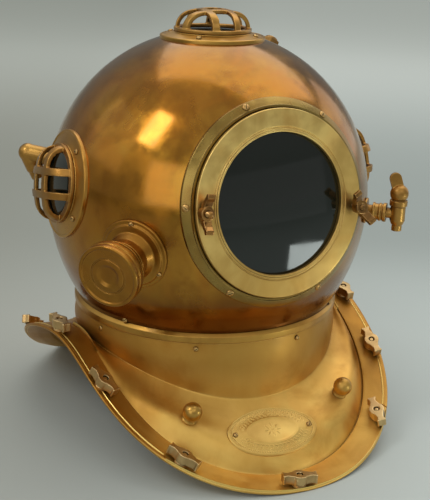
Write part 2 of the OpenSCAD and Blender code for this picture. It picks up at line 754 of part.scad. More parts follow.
module exhaust_body() color(brass) difference() {
  union() {
    skirt(exhaust_angle, exhaust_tilt, exhaust_hole_r - 0.5, exhaust_foot_r, 3);
    skirt(exhaust_angle, exhaust_tilt, exhaust_hole_r - 0.5, exhaust_foot_r - 4, 5);
    at_dir(exhaust_angle, exhaust_tilt) {
      rod(exhaust_hole_r, dome_r - sheet - 2, dome_r);
      translate([0, 0, dome_r - 1]) cylinder(r1 = exhaust_neck_r + 5.5, r2 = exhaust_neck_r, h = 12);
      rod(exhaust_neck_r, dome_r + 8, exhaust_mouth);
      for (i = [0 : 1]) ring(exhaust_neck_r - 1, exhaust_neck_r + 2.4, cap_back - 9.5 + 4.4 * i,
        cap_back - 6.9 + 4.4 * i);
    }
  }
  at_dir(exhaust_angle, exhaust_tilt) {
    ring(stem_r + 3.6, exhaust_bore_r, dome_r - sheet - 4, exhaust_seat + 1);
    rod(stem_r + run_fit, dome_r - sheet - 4, exhaust_seat + 1);
    rod(chamber_r, exhaust_seat, exhaust_mouth + 1);
  }
  dome_solid(-sheet - 4, dome_rise + 1);
}

// Three spokes carry the guide of the stem in the middle of the air way.
module exhaust_spokes() at_dir(exhaust_angle, exhaust_tilt) {
  difference() {
    for (i = [0 : 2]) rotate([0, 0, 120 * i + 90])
      translate([stem_r + 2, -1.5, dome_r + 2]) cube([exhaust_bore_r - stem_r - 1, 3, 6]);
    rod(stem_r + run_fit, dome_r, dome_r + 20);
  }
}

module exhaust_whole() {
  exhaust_body();
  color(brass) exhaust_spokes();
}

module exhaust_cap() color(brass) at_dir(exhaust_angle, exhaust_tilt) difference() {
  union() {
    rod(exhaust_cap_r, cap_back + 5, cap_face);
    rod(exhaust_cap_r - 2.6, cap_back, cap_back + 5.5);
    for (i = [0 : 2]) ring(exhaust_neck_r + 1, exhaust_cap_r - 1.2, cap_back + 0.4 + 1.9 * i, cap_back + 1.5 + 1.9 * i);
  }
  rod(exhaust_neck_r + gap, cap_back - 1, cap_face - 5.5);
  rod(exhaust_cap_r - 3.4, cap_face - 1.6, cap_face + 1);
  ring(exhaust_cap_r * 0.52, exhaust_cap_r * 0.6, cap_face - 2.6, cap_face + 1);
  translate([0, 0, cap_face + exhaust_cap_r * 0.52]) sphere(r = exhaust_cap_r * 0.633, $fn = 120);
}

module exhaust_disc() color(dark_brass) at_dir(exhaust_angle, exhaust_tilt) {
  rod(disc_r, exhaust_seat + 0.1, exhaust_seat + 2.6);
  rod(stem_r, button_z, exhaust_seat + 1);
  rod(stem_r, exhaust_seat + 2, exhaust_seat + 7);
  rod(11, button_z - 3.5, button_z);
}

spring_wire = 1.6;
spring_r = 6;
spring_turns = 5;
spring_foot = exhaust_seat + 2.6 + 0.3;
spring_head = cap_face - 5.5 - 0.3;

// A round wire coiled by a formula; the gap between turns is its pitch less the wire.
module exhaust_spring() color(dark_brass) {
  k = 6;
  n = spring_turns * 12;
  rise_all = spring_head - spring_foot - spring_wire;
  echo(least_gap_between_turns = rise_all / spring_turns - spring_wire);
  points = [for (i = [0 : n], j = [0 : k - 1])
    let (a = 360 * spring_turns * i / n, q = 360 * j / k, r = spring_r + spring_wire / 2 * cos(q))
    [r * cos(a), r * sin(a), spring_foot + spring_wire / 2 + rise_all * i / n + spring_wire / 2 * sin(q)]];
  faces = concat([[for (j = [k - 1 : -1 : 0]) j]], [[for (j = [0 : k - 1]) n * k + j]],
    [for (i = [0 : n - 1], j = [0 : k - 1]) let (a = i * k + j, b = i * k + (j + 1) % k)
      each [[a, b + k, a + k], [a, b, b + k]]]);
  at_dir(exhaust_angle, exhaust_tilt) polyhedron(points, faces, convexity = 10);
}

module exhaust_screws() color(brass)
  for (a = [90, 210, 330]) on_skirt(exhaust_angle, exhaust_tilt, exhaust_foot_r - 3.6, a, 3)
    slot_screw(2.6, 3.4, 1.3, 2.6, 40);

/* Spitcock */

cock_z = neck_z + cock_rise;
plug_foot = cock_z - 11;
collar_foot = cock_z + 8.6;
collar_h = 5.8;
collar_rad = cock_barrel_r + 1.4;
barrel_foot = cock_z - 11;
spout_foot = cock_z - 17.5;
plug_at = dome_r + cock_reach;
pipe_end = plug_at - collar_rad - 2.4;

module at_plug() translate([plug_at * sin(cock_angle), -plug_at * cos(cock_angle), 0])
  rotate([0, 0, cock_angle]) children();

module at_cock() translate([0, 0, cock_z]) rotate([0, 0, cock_angle]) rotate([90, 0, 0]) children();

module spitcock_body() color(brass) difference() {
  union() {
    skirt(cock_angle, cock_tilt, cock_hole_r - 0.5, 13, 2.4);
    at_cock() {
      rod(cock_hole_r, dome_r - sheet - 1, dome_r + 6);
      rod(cock_pipe_r - 2, dome_r + 1.5, pipe_end - 1);
      rod(cock_pipe_r, pipe_end - 14, pipe_end);
      for (z = [pipe_end - 14, pipe_end - 7.4]) ring(cock_pipe_r - 1, cock_pipe_r + 0.9, z, z + 2.2);
      ring(cock_pipe_r - 2, cock_pipe_r + 1.3, pipe_end - 3.4, pipe_end);
      rod(cock_pipe_r - 3, pipe_end - 1, plug_at - 2);
    }
    at_plug() {
      rod(cock_barrel_r, barrel_foot + 4, collar_foot - gap);
      translate([0, 0, barrel_foot]) cylinder(r1 = cock_barrel_r - 1.6, r2 = cock_barrel_r, h = 4);
      rod(cock_barrel_r - 2.4, spout_foot, barrel_foot + 1);
    }
  }
  at_plug() {
    rod(cock_plug_r + run_fit, plug_foot, collar_foot + 1);
    rod(cock_plug_r - 1.6, spout_foot - 1, plug_foot + 1);
  }
  at_cock() rod(3, dome_r - sheet - 3, plug_at - cock_plug_r);
}

module spitcock_plug() color(brass) at_plug() {
  difference() {
    rod(cock_plug_r, plug_foot + gap, collar_foot + 1);
    translate([0, 30, cock_z]) rotate([90, 0, 0]) rod(2.2, 0, 60);
  }
  rod(collar_rad, collar_foot, collar_foot + collar_h);
  translate([0, 0, collar_foot + collar_h + cock_ball_r * 0.72]) {
    sphere(r = cock_ball_r, $fn = 64);
    rotate([-18, 0, 0]) rotate([0, 0, -70]) intersection() {
      translate([-lever_w / 2, -2.2, 0]) cube([lever_w, 4.4, lever_l]);
      translate([0, 10, lever_l - lever_w / 2 - 40]) rotate([90, 0, 0])
        linear_extrude(20) union() {
          translate([0, 40]) circle(r = lever_w / 2, $fn = 48);
          translate([-lever_w / 2, 0]) square([lever_w, 40]);
        }
    }
  }
}

/* Air inlet elbow and telephone gland */

knee = dome_r + elbow_reach;
valve_r = inlet_hole_r - 3;
disc_way = 4;
inner_end = dome_r - sheet - 6;
disc_seat = inner_end + 1.5 + disc_way + 2.4;

module at_leg() translate([0, 0, knee]) rotate([90 + elbow_lean, 0, 0]) children();

module inlet_elbow() color(brass) {
  skirt(inlet_angle, inlet_tilt, inlet_hole_r - 0.5, inlet_hole_r * 2.08, 3);
  at_dir(inlet_angle, inlet_tilt) rotate([0, 0, inlet_turn]) difference() {
    union() {
      rod(inlet_hole_r, inner_end, dome_r + 1);
      translate([0, 0, dome_r]) cylinder(r1 = inlet_hole_r + 4, r2 = elbow_r, h = 8);
      rod(elbow_r, dome_r, knee);
      translate([0, 0, knee]) sphere(r = elbow_r + 0.5, $fn = 96);
      at_leg() {
        rod(elbow_r, 0, elbow_leg - 10);
        rod(inlet_end_r, 0, elbow_leg);
      }
    }
    rod(inlet_bore_r, inner_end - 1, knee);
    rod(valve_r, inner_end - 1, disc_seat);
    translate([0, 0, knee]) sphere(r = inlet_bore_r + 0.5, $fn = 64);
    at_leg() rod(inlet_bore_r, 0, elbow_leg + 1);
  }
  at_dir(inlet_angle, inlet_tilt) ring(valve_r - 2, valve_r + 0.5, inner_end, inner_end + 1.5);
}

// A light disc that lifts off its seat when air comes in and drops back when it stops.
module inlet_valve_disc() color(dark_brass) at_dir(inlet_angle, inlet_tilt)
  rod(valve_r - 0.6, disc_seat - 2.4, disc_seat - 0.1);

module phone_gland() color(brass) difference() {
  union() {
    skirt(phone_angle, phone_tilt, phone_hole_r - 0.5, phone_foot_r, 3);
    at_dir(phone_angle, phone_tilt) {
      rod(phone_hole_r, dome_r - sheet - 1, dome_r + 0.5);
      translate([0, 0, dome_r]) cylinder(r1 = 15, r2 = 10, h = phone_h - 4);
      rod(9, dome_r + 2, dome_r + phone_h);
    }
  }
  at_dir(phone_angle, phone_tilt) rod(phone_bore_r, dome_r - sheet - 3, dome_r + phone_h + 1);
}

module phone_gland_nut() color(dark_brass) at_dir(phone_angle, phone_tilt) difference() {
  union() {
    translate([0, 0, dome_r + phone_h + 0.1]) cylinder(r = 11, h = 7, $fn = 6);
    rod(7.6, dome_r + phone_h + 6, dome_r + phone_h + 10);
  }
  rod(phone_bore_r, dome_r + phone_h - 1, dome_r + phone_h + 12);
}

bonnet_shell();
bonnet_ring();
bonnet_ring_screws();
front_flange();
front_flange_screws();
front_gasket();
front_door_ring();
front_glass();
front_glass_bezel();
door_studs();
vee_nut(door_stud_angles[0], 84, 0);  // door_nut_right
vee_nut(door_stud_angles[1], 120, left_nut_lift);  // door_nut_left
small_flange(right_angle, side_tilt);  // side_flange_right
small_glass(right_angle, side_tilt);  // side_glass_right
guard(right_angle, side_tilt, side_turn);  // side_guard_right
small_screws(right_angle, side_tilt, side_turn);  // side_screws_right
small_flange(left_angle, side_tilt);  // side_flange_left
small_glass(left_angle, side_tilt);  // side_glass_left
guard(left_angle, side_tilt, -side_turn);  // side_guard_left
small_screws(left_angle, side_tilt, -side_turn);  // side_screws_left
small_flange(0, 90);  // top_flange
small_glass(0, 90);  // top_glass
guard(0, 90, top_guard_turn);  // top_guard
small_screws(0, 90);  // top_screws
exhaust_whole();  // exhaust_body
exhaust_cap();
exhaust_disc();
exhaust_spring();
exhaust_screws();
spitcock_body();
spitcock_plug();
inlet_elbow();
inlet_valve_disc();
phone_gland();
phone_gland_nut();
corselet_plate();
corselet_ring();
corselet_ring_screws();
neck_gasket();
corselet_studs();
ball_studs();
name_plate();
name_plate_screws();
wing_nut(0);  // wing_nut_01
wing_nut(1);  // wing_nut_02
wing_nut(2);  // wing_nut_03
wing_nut(3);  // wing_nut_04
wing_nut(4);  // wing_nut_05
wing_nut(5);  // wing_nut_06
wing_nut(6);  // wing_nut_07
wing_nut(7);  // wing_nut_08
wing_nut(8);  // wing_nut_09
wing_nut(9);  // wing_nut_10
wing_nut(10);  // wing_nut_11
wing_nut(11);  // wing_nut_12
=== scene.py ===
# Diving helmet: a copper bonnet with brass windows and valves, locked onto a brass corselet.
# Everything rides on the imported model: metres, +Z up, the front window looks along -Y.
# The pieces follow the order in which such a helmet is put together.
import math
import bmesh
import bpy
from mathutils import Matrix, Vector


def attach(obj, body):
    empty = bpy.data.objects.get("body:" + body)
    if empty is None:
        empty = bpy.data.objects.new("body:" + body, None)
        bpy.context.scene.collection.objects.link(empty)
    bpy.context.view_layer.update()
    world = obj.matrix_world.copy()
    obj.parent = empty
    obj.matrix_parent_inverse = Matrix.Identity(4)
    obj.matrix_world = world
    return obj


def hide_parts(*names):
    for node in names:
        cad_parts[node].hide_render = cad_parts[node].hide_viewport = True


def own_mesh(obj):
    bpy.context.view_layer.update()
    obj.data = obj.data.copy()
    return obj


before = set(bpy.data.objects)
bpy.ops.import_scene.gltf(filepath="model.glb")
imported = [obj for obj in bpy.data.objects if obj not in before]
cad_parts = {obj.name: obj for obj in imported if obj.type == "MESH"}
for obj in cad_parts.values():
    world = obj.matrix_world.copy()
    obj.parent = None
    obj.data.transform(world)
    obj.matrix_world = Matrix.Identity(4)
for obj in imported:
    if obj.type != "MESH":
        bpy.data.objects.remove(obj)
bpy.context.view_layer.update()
scene = bpy.context.scene
MM = 0.001

# Camera and room
# The helmet stands on a pale floor in soft studio light. The camera looks down on it from
# its front right, as the photograph does.
LEVEL = Vector((0.878, -0.4785, 0))
BACK = Vector((-0.4547, -0.834, 0.3118))
UP = Vector((0.1492, 0.2738, 0.9498))
ROLL = math.radians(1.86)
STAND = Vector((-0.5009, -0.9390, 0.5178))


def placed(name, data):
    """An object at the origin, linked into the scene."""
    made = bpy.data.objects.new(name, data)
    scene.collection.objects.link(made)
    return made


scene.view_settings.view_transform = "Standard"
camera = placed("camera", bpy.data.cameras.new("camera"))
right = LEVEL * math.cos(ROLL) + UP * math.sin(ROLL)
above = UP * math.cos(ROLL) - LEVEL * math.sin(ROLL)
view = Matrix((right, above, BACK)).transposed().to_4x4()
view.translation = STAND
camera.matrix_world = view
camera.data.lens = 74.494
camera.data.sensor_width = 36
camera.data.clip_end = 200
scene.camera = camera

# The floor is matt and reaches to the skyline. Its colour holds painted light and shade: paler on the
# camera's right and far away, and darker a little behind the helmet.
FLOOR = 70.0
ACROSS, AWAY = (0.878, -0.4785, 0), (0.4787, 0.878, 0)
floor = placed("floor", bpy.data.meshes.new("floor"))
floor.data.from_pydata([(-FLOOR, -FLOOR, 0), (FLOOR, -FLOOR, 0), (FLOOR, FLOOR, 0), (-FLOOR, FLOOR, 0)],
                       [], [(0, 1, 2, 3)])
paint = bpy.data.materials.new("pale_floor")
paint.use_nodes = True
floor_tree = paint.node_tree
matt = floor_tree.nodes["Principled BSDF"]
matt.inputs["Roughness"].default_value = 0.7
matt.inputs["Specular IOR Level"].default_value = 0.0
place = floor_tree.nodes.new("ShaderNodeTexCoord").outputs["Object"]


def soft_rise(tree, where, direction, start, end, low=0.0, high=1.0):
    """A soft change from low to high along a direction, between start and end."""
    run = tree.nodes.new("ShaderNodeVectorMath")
    run.operation = "DOT_PRODUCT"
    run.inputs[1].default_value = direction
    step = tree.nodes.new("ShaderNodeMapRange")
    step.interpolation_type = "SMOOTHSTEP"
    for label, value in (("From Min", start), ("From Max", end), ("To Min", low), ("To Max", high)):
        step.inputs[label].default_value = value
    tree.links.new(where, run.inputs[0])
    tree.links.new(run.outputs["Value"], step.inputs["Value"])
    return step.outputs["Result"]


def floor_light_mix(share, one, other):
    """Mixes two floor tones of painted light and shade, each a plain colour or an earlier mix."""
    mix = floor_tree.nodes.new("ShaderNodeMix")
    mix.data_type = "RGBA"
    floor_tree.links.new(share, mix.inputs[0])
    for k, colour in ((6, one), (7, other)):
        if isinstance(colour, tuple):
            mix.inputs[k].default_value = colour + (1,)
        else:
            floor_tree.links.new(colour, mix.inputs[k])
    return mix.outputs[2]


# Painted light and shade on the floor, from the camera's left to its right and away from the helmet.
lit_side_share = soft_rise(floor_tree, place, ACROSS, -0.55, 0.35)
near_floor_light = floor_light_mix(lit_side_share, (0.34, 0.34, 0.30), (0.58, 0.63, 0.61))
middle_floor_light = floor_light_mix(lit_side_share, (0.30, 0.305, 0.27), (0.36, 0.395, 0.38))
far_floor_light = floor_light_mix(lit_side_share, (0.58, 0.605, 0.565), (0.74, 0.78, 0.75))
middle_floor_light = floor_light_mix(soft_rise(floor_tree, place, AWAY, 0.15, 0.65), near_floor_light, middle_floor_light)
floor_painted_light = floor_light_mix(soft_rise(floor_tree, place, AWAY, 0.9, 3.0), middle_floor_light, far_floor_light)
floor_tree.links.new(floor_painted_light, matt.inputs["Base Color"])
floor.data.materials.append(paint)

# The room's walls are greyer low down and dimmer behind the helmet. Past the floor the
# camera sees one plain tone instead, close to that of the floor.
sky = bpy.data.worlds.new("studio")
scene.world = sky
sky.use_nodes = True
tree = sky.node_tree
room = tree.nodes["Background"]
way = tree.nodes.new("ShaderNodeTexCoord").outputs["Generated"]
split = tree.nodes.new("ShaderNodeSeparateXYZ")
rise = tree.nodes.new("ShaderNodeMapRange")
rise.inputs["From Min"].default_value = -0.1
tone = tree.nodes.new("ShaderNodeValToRGB")
tone.color_ramp.elements[0].color = (0.31, 0.325, 0.305, 1)
tone.color_ramp.elements[1].color = (0.60, 0.61, 0.58, 1)
tone.color_ramp.elements.new(0.20).color = (0.24, 0.25, 0.235, 1)
tone.color_ramp.elements.new(0.45).color = (0.35, 0.36, 0.34, 1)
backdrop = tree.nodes.new("ShaderNodeBackground")
backdrop.inputs["Color"].default_value = (0.32, 0.335, 0.31, 1)
seen = tree.nodes.new("ShaderNodeLightPath")
either = tree.nodes.new("ShaderNodeMixShader")
for one, other in ((way, split.inputs[0]),
                   (split.outputs["Z"], rise.inputs["Value"]),
                   (rise.outputs["Result"], tone.inputs["Fac"]),
                   (tone.outputs["Color"], room.inputs["Color"]),
                   (soft_rise(tree, way, AWAY, 0.58, 0.70, 1.05, 0.76), room.inputs["Strength"]),
                   (seen.outputs["Is Camera Ray"], either.inputs[0]),
                   (room.outputs[0], either.inputs[1]),
                   (backdrop.outputs[0], either.inputs[2]),
                   (either.outputs[0], tree.nodes["World Output"].inputs["Surface"])):
    tree.links.new(one, other)


def softbox(name, direction, distance, size, power, tint=(1, 1, 1), at=(0, 0, 0.24), lights_floor=True):
    """A soft lamp that looks at a point. Where it lights no floor, it shows only as a gleam."""
    lamp = bpy.data.lights.new(name, "AREA")
    lamp.shape = "RECTANGLE"
    lamp.size, lamp.size_y = size
    lamp.energy = power
    lamp.color = tint
    held = placed(name, lamp)
    spot = Vector(at) + Vector(direction).normalized() * distance
    turn = (Vector(at) - spot).to_track_quat("-Z", "Y").to_matrix().to_4x4()
    turn.translation = spot
    held.matrix_world = turn
    held.visible_camera = False
    held.visible_diffuse = lights_floor


softbox("window_light", (-0.66, -0.10, 0.72), 2.2, (0.5, 0.85), 7)
softbox("overhead", (0.35, 0.30, 0.88), 2.6, (3.2, 2.6), 32)
softbox("left_fill", (-1.0, -0.75, 0.35), 2.8, (1.8, 1.4), 8)
softbox("left_back", (-1.0, 0.45, 0.62), 2.8, (2.0, 1.5), 3)
softbox("right_card", (1.0, 0.15, 0.25), 2.6, (1.6, 1.2), 4)
softbox("front_card", (0.42, -0.88, 0.05), 2.4, (1.6, 0.6), 0.4, lights_floor=False)
softbox("front_top", (-0.12, -0.80, 0.62), 2.6, (2.2, 1.0), 4.5)
softbox("low_card", (0.62, -0.75, -0.23), 0.62, (0.15, 0.09), 0.30, (0.9, 1.0, 0.96),
        at=(0.02, -0.15, 0.20), lights_floor=False)

# Bonnet shell
# The dome is copper sheet, spun over a former and planished, 3 mm thick. Below its widest
# line it runs in on a fuller curve to the neck ring. The openings are sawn out of it.
DOME_Z, DOME_R, SHEET = 235.0, 168.0, 3.0
FLANK_R, FLANK_X, FLANK_DROP = 205.0, -37.0, 108.3
FRONT_R, WINDOW_R = 92.4, 39.5
FRONT, RIGHT, LEFT, TOP = (0, 9), (-90, 8), (85, 8), (0, 90)
EXHAUST, COCK, INLET, PHONE = (-52, -8), (45.5, -1.194), (-129, 7.5), (122, 48)
UPRIGHT = Matrix.Identity(4)


def along(direction):
    """The place of a fitting: its +Z leaves the dome's centre towards (round, up) degrees."""
    a, e = (math.radians(v) for v in direction)
    out = Vector((math.sin(a) * math.cos(e), -math.cos(a) * math.cos(e), math.sin(e)))
    side = Vector((math.cos(a), math.sin(a), 0))
    m = Matrix((side, out.cross(side), out)).transposed().to_4x4()
    m.translation = (0, 0, DOME_Z * MM)
    return m


def polar(place, r, a, z):
    """The point at the radius r, the angle a and the height z mm on a fitting's own axis."""
    return place @ Vector((r * math.cos(a) * MM, r * math.sin(a) * MM, z * MM))


def spun(angle):
    """A turn about a fitting's own axis."""
    return Matrix.Rotation(angle, 4, "Z")


def eased(corners, cuts=4):
    """Rounds the corners (across, height, radius) of an outline, over less than half a side."""
    line = []
    for i, c in enumerate(corners):
        p = Vector(c[:2])
        r = c[2] if len(c) > 2 else 0
        if not r:
            line.append(p)
            continue
        a = Vector(corners[i - 1][:2]) - p
        b = Vector(corners[(i + 1) % len(corners)][:2]) - p
        half = min(max(a.angle(b) / 2, 0.05), 1.55)
        reach = min(r / math.tan(half), 0.48 * a.length, 0.48 * b.length)
        middle = p + (a.normalized() + b.normalized()).normalized() * (reach / math.cos(half))
        s = p + a.normalized() * reach - middle
        e = p + b.normalized() * reach - middle
        start = math.atan2(s.y, s.x)
        sweep = (math.atan2(e.y, e.x) - start + math.pi) % (2 * math.pi) - math.pi
        for k in range(cuts + 1):
            t = start + sweep * k / cuts
            line.append(middle + Vector((math.cos(t), math.sin(t))) * s.length)
    return line


def settled(form, name):
    """Turns a bmesh form into a mesh."""
    mesh = bpy.data.meshes.new(name)
    form.to_mesh(mesh)
    form.free()
    return mesh


def gathered(meshes):
    """One mesh out of several."""
    form = bmesh.new()
    for m in meshes:
        form.from_mesh(m)
    return settled(form, "whole")


def closed(rings, loop=True):
    """A skin through rings of points that close on themselves, each ring all the way round."""
    form = bmesh.new()
    rows = [[form.verts.new(p) for p in ring] for ring in rings]
    n = len(rows[0])
    for i in range(len(rows) if loop else len(rows) - 1):
        a, b = rows[i], rows[(i + 1) % len(rows)]
        for j in range(n):
            form.faces.new((a[j], a[(j + 1) % n], b[(j + 1) % n], b[j]))
    bmesh.ops.remove_doubles(form, verts=form.verts, dist=1e-7)
    bmesh.ops.recalc_face_normals(form, faces=form.faces)
    return settled(form, "skin")


def turned(place, corners, steps=160, cuts=4):
    """A piece turned on the lathe from a closed outline of (radius, height, rounding) in mm."""
    rings = []
    for p in eased(corners, cuts):
        rings.append([polar(place, p.x, 2 * math.pi * k / steps, p.y) for k in range(steps)])
    return closed(rings)


def rod(place, r, low, high, steps):
    """A plain rod, to bore with."""
    return turned(place, [(0, low), (r, low), (r, high), (0, high)], steps)


def worked(block, *helpers):
    """The mesh of an object with its modifiers run; it and its helpers are cleared away."""
    mesh = bpy.data.meshes.new_from_object(block.evaluated_get(bpy.context.evaluated_depsgraph_get()))
    for o in (block,) + helpers:
        bpy.data.objects.remove(o)
    return mesh


def bored(mesh, cutters):
    """Takes the cutters out of a mesh, as one cut."""
    block = placed("block", mesh)
    bit = placed("bit", gathered(cutters))
    cut = block.modifiers.new("cut", "BOOLEAN")
    cut.operation = "DIFFERENCE"
    cut.object = bit
    cut.solver = "MANIFOLD"
    return worked(block, bit)


def piece(name, mesh, finish, body, node, crease=38):
    """Hangs a finished mesh on its body, in the place of its plain node."""
    mesh.name = name
    mesh.materials.clear()
    mesh.materials.append(finish)
    for face in mesh.polygons:
        face.use_smooth = True
    mesh.set_sharp_from_angle(angle=math.radians(crease))
    made = placed(name, mesh)
    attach(made, body)
    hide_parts(node)
    return made


def aged_brass(name, gold, brown, patches, gloss, dents, corner_darkness=0.8, wear=0.5, lacquer=0.2, blush=0.3,
               edge=0.0, painted_shade_bands=(), lathe=None):
    """Aged metal: clouds and spots of brown over gold, darker in the corners where they are closed in, and
    edges rubbed bright, with a painted highlight on sharp edges where edge is set.

    Each painted shade band darkens it along an axis, from an unshaded to a dark height in metres, by a
    share.
    """
    finish = bpy.data.materials.new(name)
    finish.use_nodes = True
    tree = finish.node_tree
    metal = tree.nodes["Principled BSDF"]
    metal.inputs["Metallic"].default_value = 1.0
    metal.inputs["Coat Weight"].default_value = lacquer
    metal.inputs["Coat Roughness"].default_value = gloss * 0.6

    def add(kind, inputs, **settings):
        node = tree.nodes.new("ShaderNode" + kind)
        for k, v in settings.items():
            setattr(node, k, v)
        for k, v in inputs.items():
            if isinstance(v, bpy.types.NodeSocket):
                tree.links.new(v, node.inputs[k])
            else:
                node.inputs[k].default_value = v
        return node

    def noise(scale, detail, rough=0.6, twist=0.0, stretch=None):
        source = stretch or where
        return add("TexNoise", {"Vector": source, "Scale": scale, "Detail": detail, "Roughness": rough,
                                "Distortion": twist}).outputs[0]

    def sums(op, a, b=0.0):
        return add("Math", {0: a, 1: b}, operation=op).outputs[0]

    def times(a, b):
        return sums("MULTIPLY", a, b)

    def plus(a, b):
        return sums("ADD", a, b)

    def span(value, low, high, to_low=0.0, to_high=1.0):
        return add("MapRange", {"Value": value, "From Min": low, "From Max": high, "To Min": to_low,
                                "To Max": to_high}, interpolation_type="SMOOTHSTEP").outputs[0]

    def over(under, paint, share):
        return add("Mix", {0: share, 6: under, 7: tuple(paint) + (1,)}, data_type="RGBA").outputs[2]

    def deeper(colour, shares):
        return tuple(c * s for c, s in zip(colour, shares))

    # Gold and brown in clouds, spots and runs, with some copper red and darker stains.
    where = add("TexCoord", {}).outputs["Object"]
    clouds = noise(13.0, 4, 0.55, 0.9)
    spots = noise(48.0, 4, 0.55, 0.3)
    runs = noise(75.0, 4, stretch=add("Mapping", {"Vector": where, "Scale": (1, 1, 0.22)}).outputs[0])
    mass = plus(times(clouds, 0.62), plus(times(spots, 0.24), times(runs, 0.14)))
    mid = tuple(g * (1 - patches) + b * patches for g, b in zip(gold, brown))
    colour = over(mid + (1,), gold, span(mass, 0.37, 0.61))
    stain = span(noise(16.0, 5, 0.6, 0.6), 0.50, 0.70)
    red = span(noise(10.0, 3, 0.5, 1.2), 0.45, 0.62)
    colour = over(colour, deeper(gold, (1.0, 0.74, 0.55)), times(red, blush))
    colour = over(colour, brown, times(stain, patches))
    # Painted shade: each band darkens the colour along an axis, with a mottled edge.
    for axis, unshaded, dark, share in painted_shade_bands:
        height = sums("ABSOLUTE", add("SeparateXYZ", {0: where}).outputs[axis])
        height = plus(height, times(sums("SUBTRACT", clouds, 0.5), 0.06))
        colour = over(colour, deeper(brown, (0.75, 0.75, 0.75)), span(height, unshaded, dark, 0.0, share))

    # The corners are darkened where the ambient occlusion finds them closed in, and the edges are rubbed
    # bright.
    open_to = add("AmbientOcclusion", {"Distance": 0.006}, samples=8).outputs["AO"]
    corner_darkening = times(span(open_to, 0.80, 0.30), plus(times(spots, 0.7), corner_darkness * 0.8))
    colour = over(colour, deeper(brown, (0.30, 0.30, 0.30)), add("Clamp", {"Value": corner_darkening}).outputs[0])
    shape = add("NewGeometry", {})
    ridge = add("VectorMath", {0: add("Bevel", {"Radius": 0.0013}, samples=6).outputs[0],
                               1: shape.outputs["Normal"]}, operation="DOT_PRODUCT").outputs["Value"]
    wear_and_glint = times(span(ridge, 0.992, 0.90), times(span(open_to, 0.55, 0.9), wear))
    # With the edge share set, sharp convex edges are painted bright too: a painted highlight on top of the
    # real wear.
    if edge:
        wear_and_glint = sums("MAXIMUM", wear_and_glint, times(span(shape.outputs["Pointiness"], 0.515, 0.60), edge))
    colour = over(colour, [g * 1.2 + v for g, v in zip(gold, (0.16, 0.13, 0.07))], wear_and_glint)
    tree.links.new(colour, metal.inputs["Base Color"])

    # Stains and the darkened corners are duller than clean metal, and worn and highlighted edges shinier.
    rough = plus(span(spots, 0.3, 0.7, gloss - 0.05, gloss + 0.10), times(corner_darkening, 0.25))
    rough = plus(sums("SUBTRACT", rough, times(wear_and_glint, 0.06)), times(stain, 0.06))
    tree.links.new(rough, metal.inputs["Roughness"])

    # Soft dents, a fine grain, and rings round the axis of what was turned on a lathe.
    height = plus(times(noise(21.0, 2, 0.4), dents), times(noise(650.0, 3), 0.012))
    if lathe is not None:
        local = add("Mapping", {"Vector": where, "Location": lathe.translation,
                                "Rotation": lathe.to_euler()}, vector_type="TEXTURE").outputs[0]
        flat = add("VectorMath", {0: local, 1: (1, 1, 0)}, operation="MULTIPLY").outputs[0]
        far = add("VectorMath", {0: flat}, operation="LENGTH").outputs["Value"]
        rings = add("TexNoise", {"W": far, "Scale": 1400.0, "Detail": 2.0},
                    noise_dimensions="1D").outputs[0]
        height = plus(height, times(rings, 0.02))
    bump = add("Bump", {"Strength": 0.5, "Distance": 0.004, "Height": height})
    tree.links.new(bump.outputs[0], metal.inputs["Normal"])
    return finish


# Painted shade and reflection: the copper is darkened towards the dome's foot, where it mirrors the dark
# floor and corselet, and towards its crown.
dome_finish = aged_brass("dome_copper", (0.47, 0.225, 0.024), (0.23, 0.078, 0.004), patches=0.60,
                         gloss=0.17, dents=0.10, lacquer=0.30, corner_darkness=0.5, blush=0.5,
                         painted_shade_bands=(("Z", 0.215, 0.125, 0.95), ("Z", 0.31, 0.42, 0.50)))
outer = []
for k in range(30):
    drop = FLANK_DROP * (1 - k / 30)
    outer.append((FLANK_X + math.sqrt(FLANK_R ** 2 - drop ** 2), DOME_Z - drop))
crown = math.pi / 2 - math.asin(WINDOW_R / DOME_R)
for k in range(61):
    a = crown * k / 60
    outer.append((DOME_R * math.cos(a), DOME_Z + DOME_R * math.sin(a)))
inner = []
for r, z in outer:
    out = Vector((r - (FLANK_X if z < DOME_Z else 0.0), z - DOME_Z)).normalized()
    at_foot = z <= DOME_Z - FLANK_DROP + 0.01
    inner.append((r - out.x * SHEET, z if at_foot else z - out.y * SHEET))
dome = turned(UPRIGHT, outer + inner[::-1], 288)
openings = [rod(along(FRONT), FRONT_R, 118, 180, 192)]
for direction, r in ((RIGHT, WINDOW_R), (LEFT, WINDOW_R), (EXHAUST, 16), (COCK, 6), (INLET, 12.5),
                     (PHONE, 8)):
    openings.append(rod(along(direction), r, 145, 190, 128))
piece("bonnet_dome", bored(dome, openings), dome_finish, "bonnet", "bonnet_shell", crease=30)

# Neck rings
# A cast brass ring is soldered to the bonnet's foot and another to the corselet's collar.
# Four lugs on each lock with an eighth of a turn, down on a leather washer.
LUGS, LUG_SPAN, LUG_STEPS = 4, 38, 16
LUG = [(128.3, 119.2, 0.5), (132.9, 119.2), (132.9, 123.7), (128.3, 123.7, 0.5)]
trim_finish = aged_brass("trim_brass", (0.56, 0.31, 0.06), (0.27, 0.12, 0.018), patches=0.45, gloss=0.32,
                         dents=0.05)


def capped(mesh):
    """Closes the open ends of a skin."""
    form = bmesh.new()
    form.from_mesh(mesh)
    bmesh.ops.holes_fill(form, edges=[e for e in form.edges if e.is_boundary], sides=0)
    bmesh.ops.recalc_face_normals(form, faces=form.faces)
    form.to_mesh(mesh)
    form.free()
    return mesh


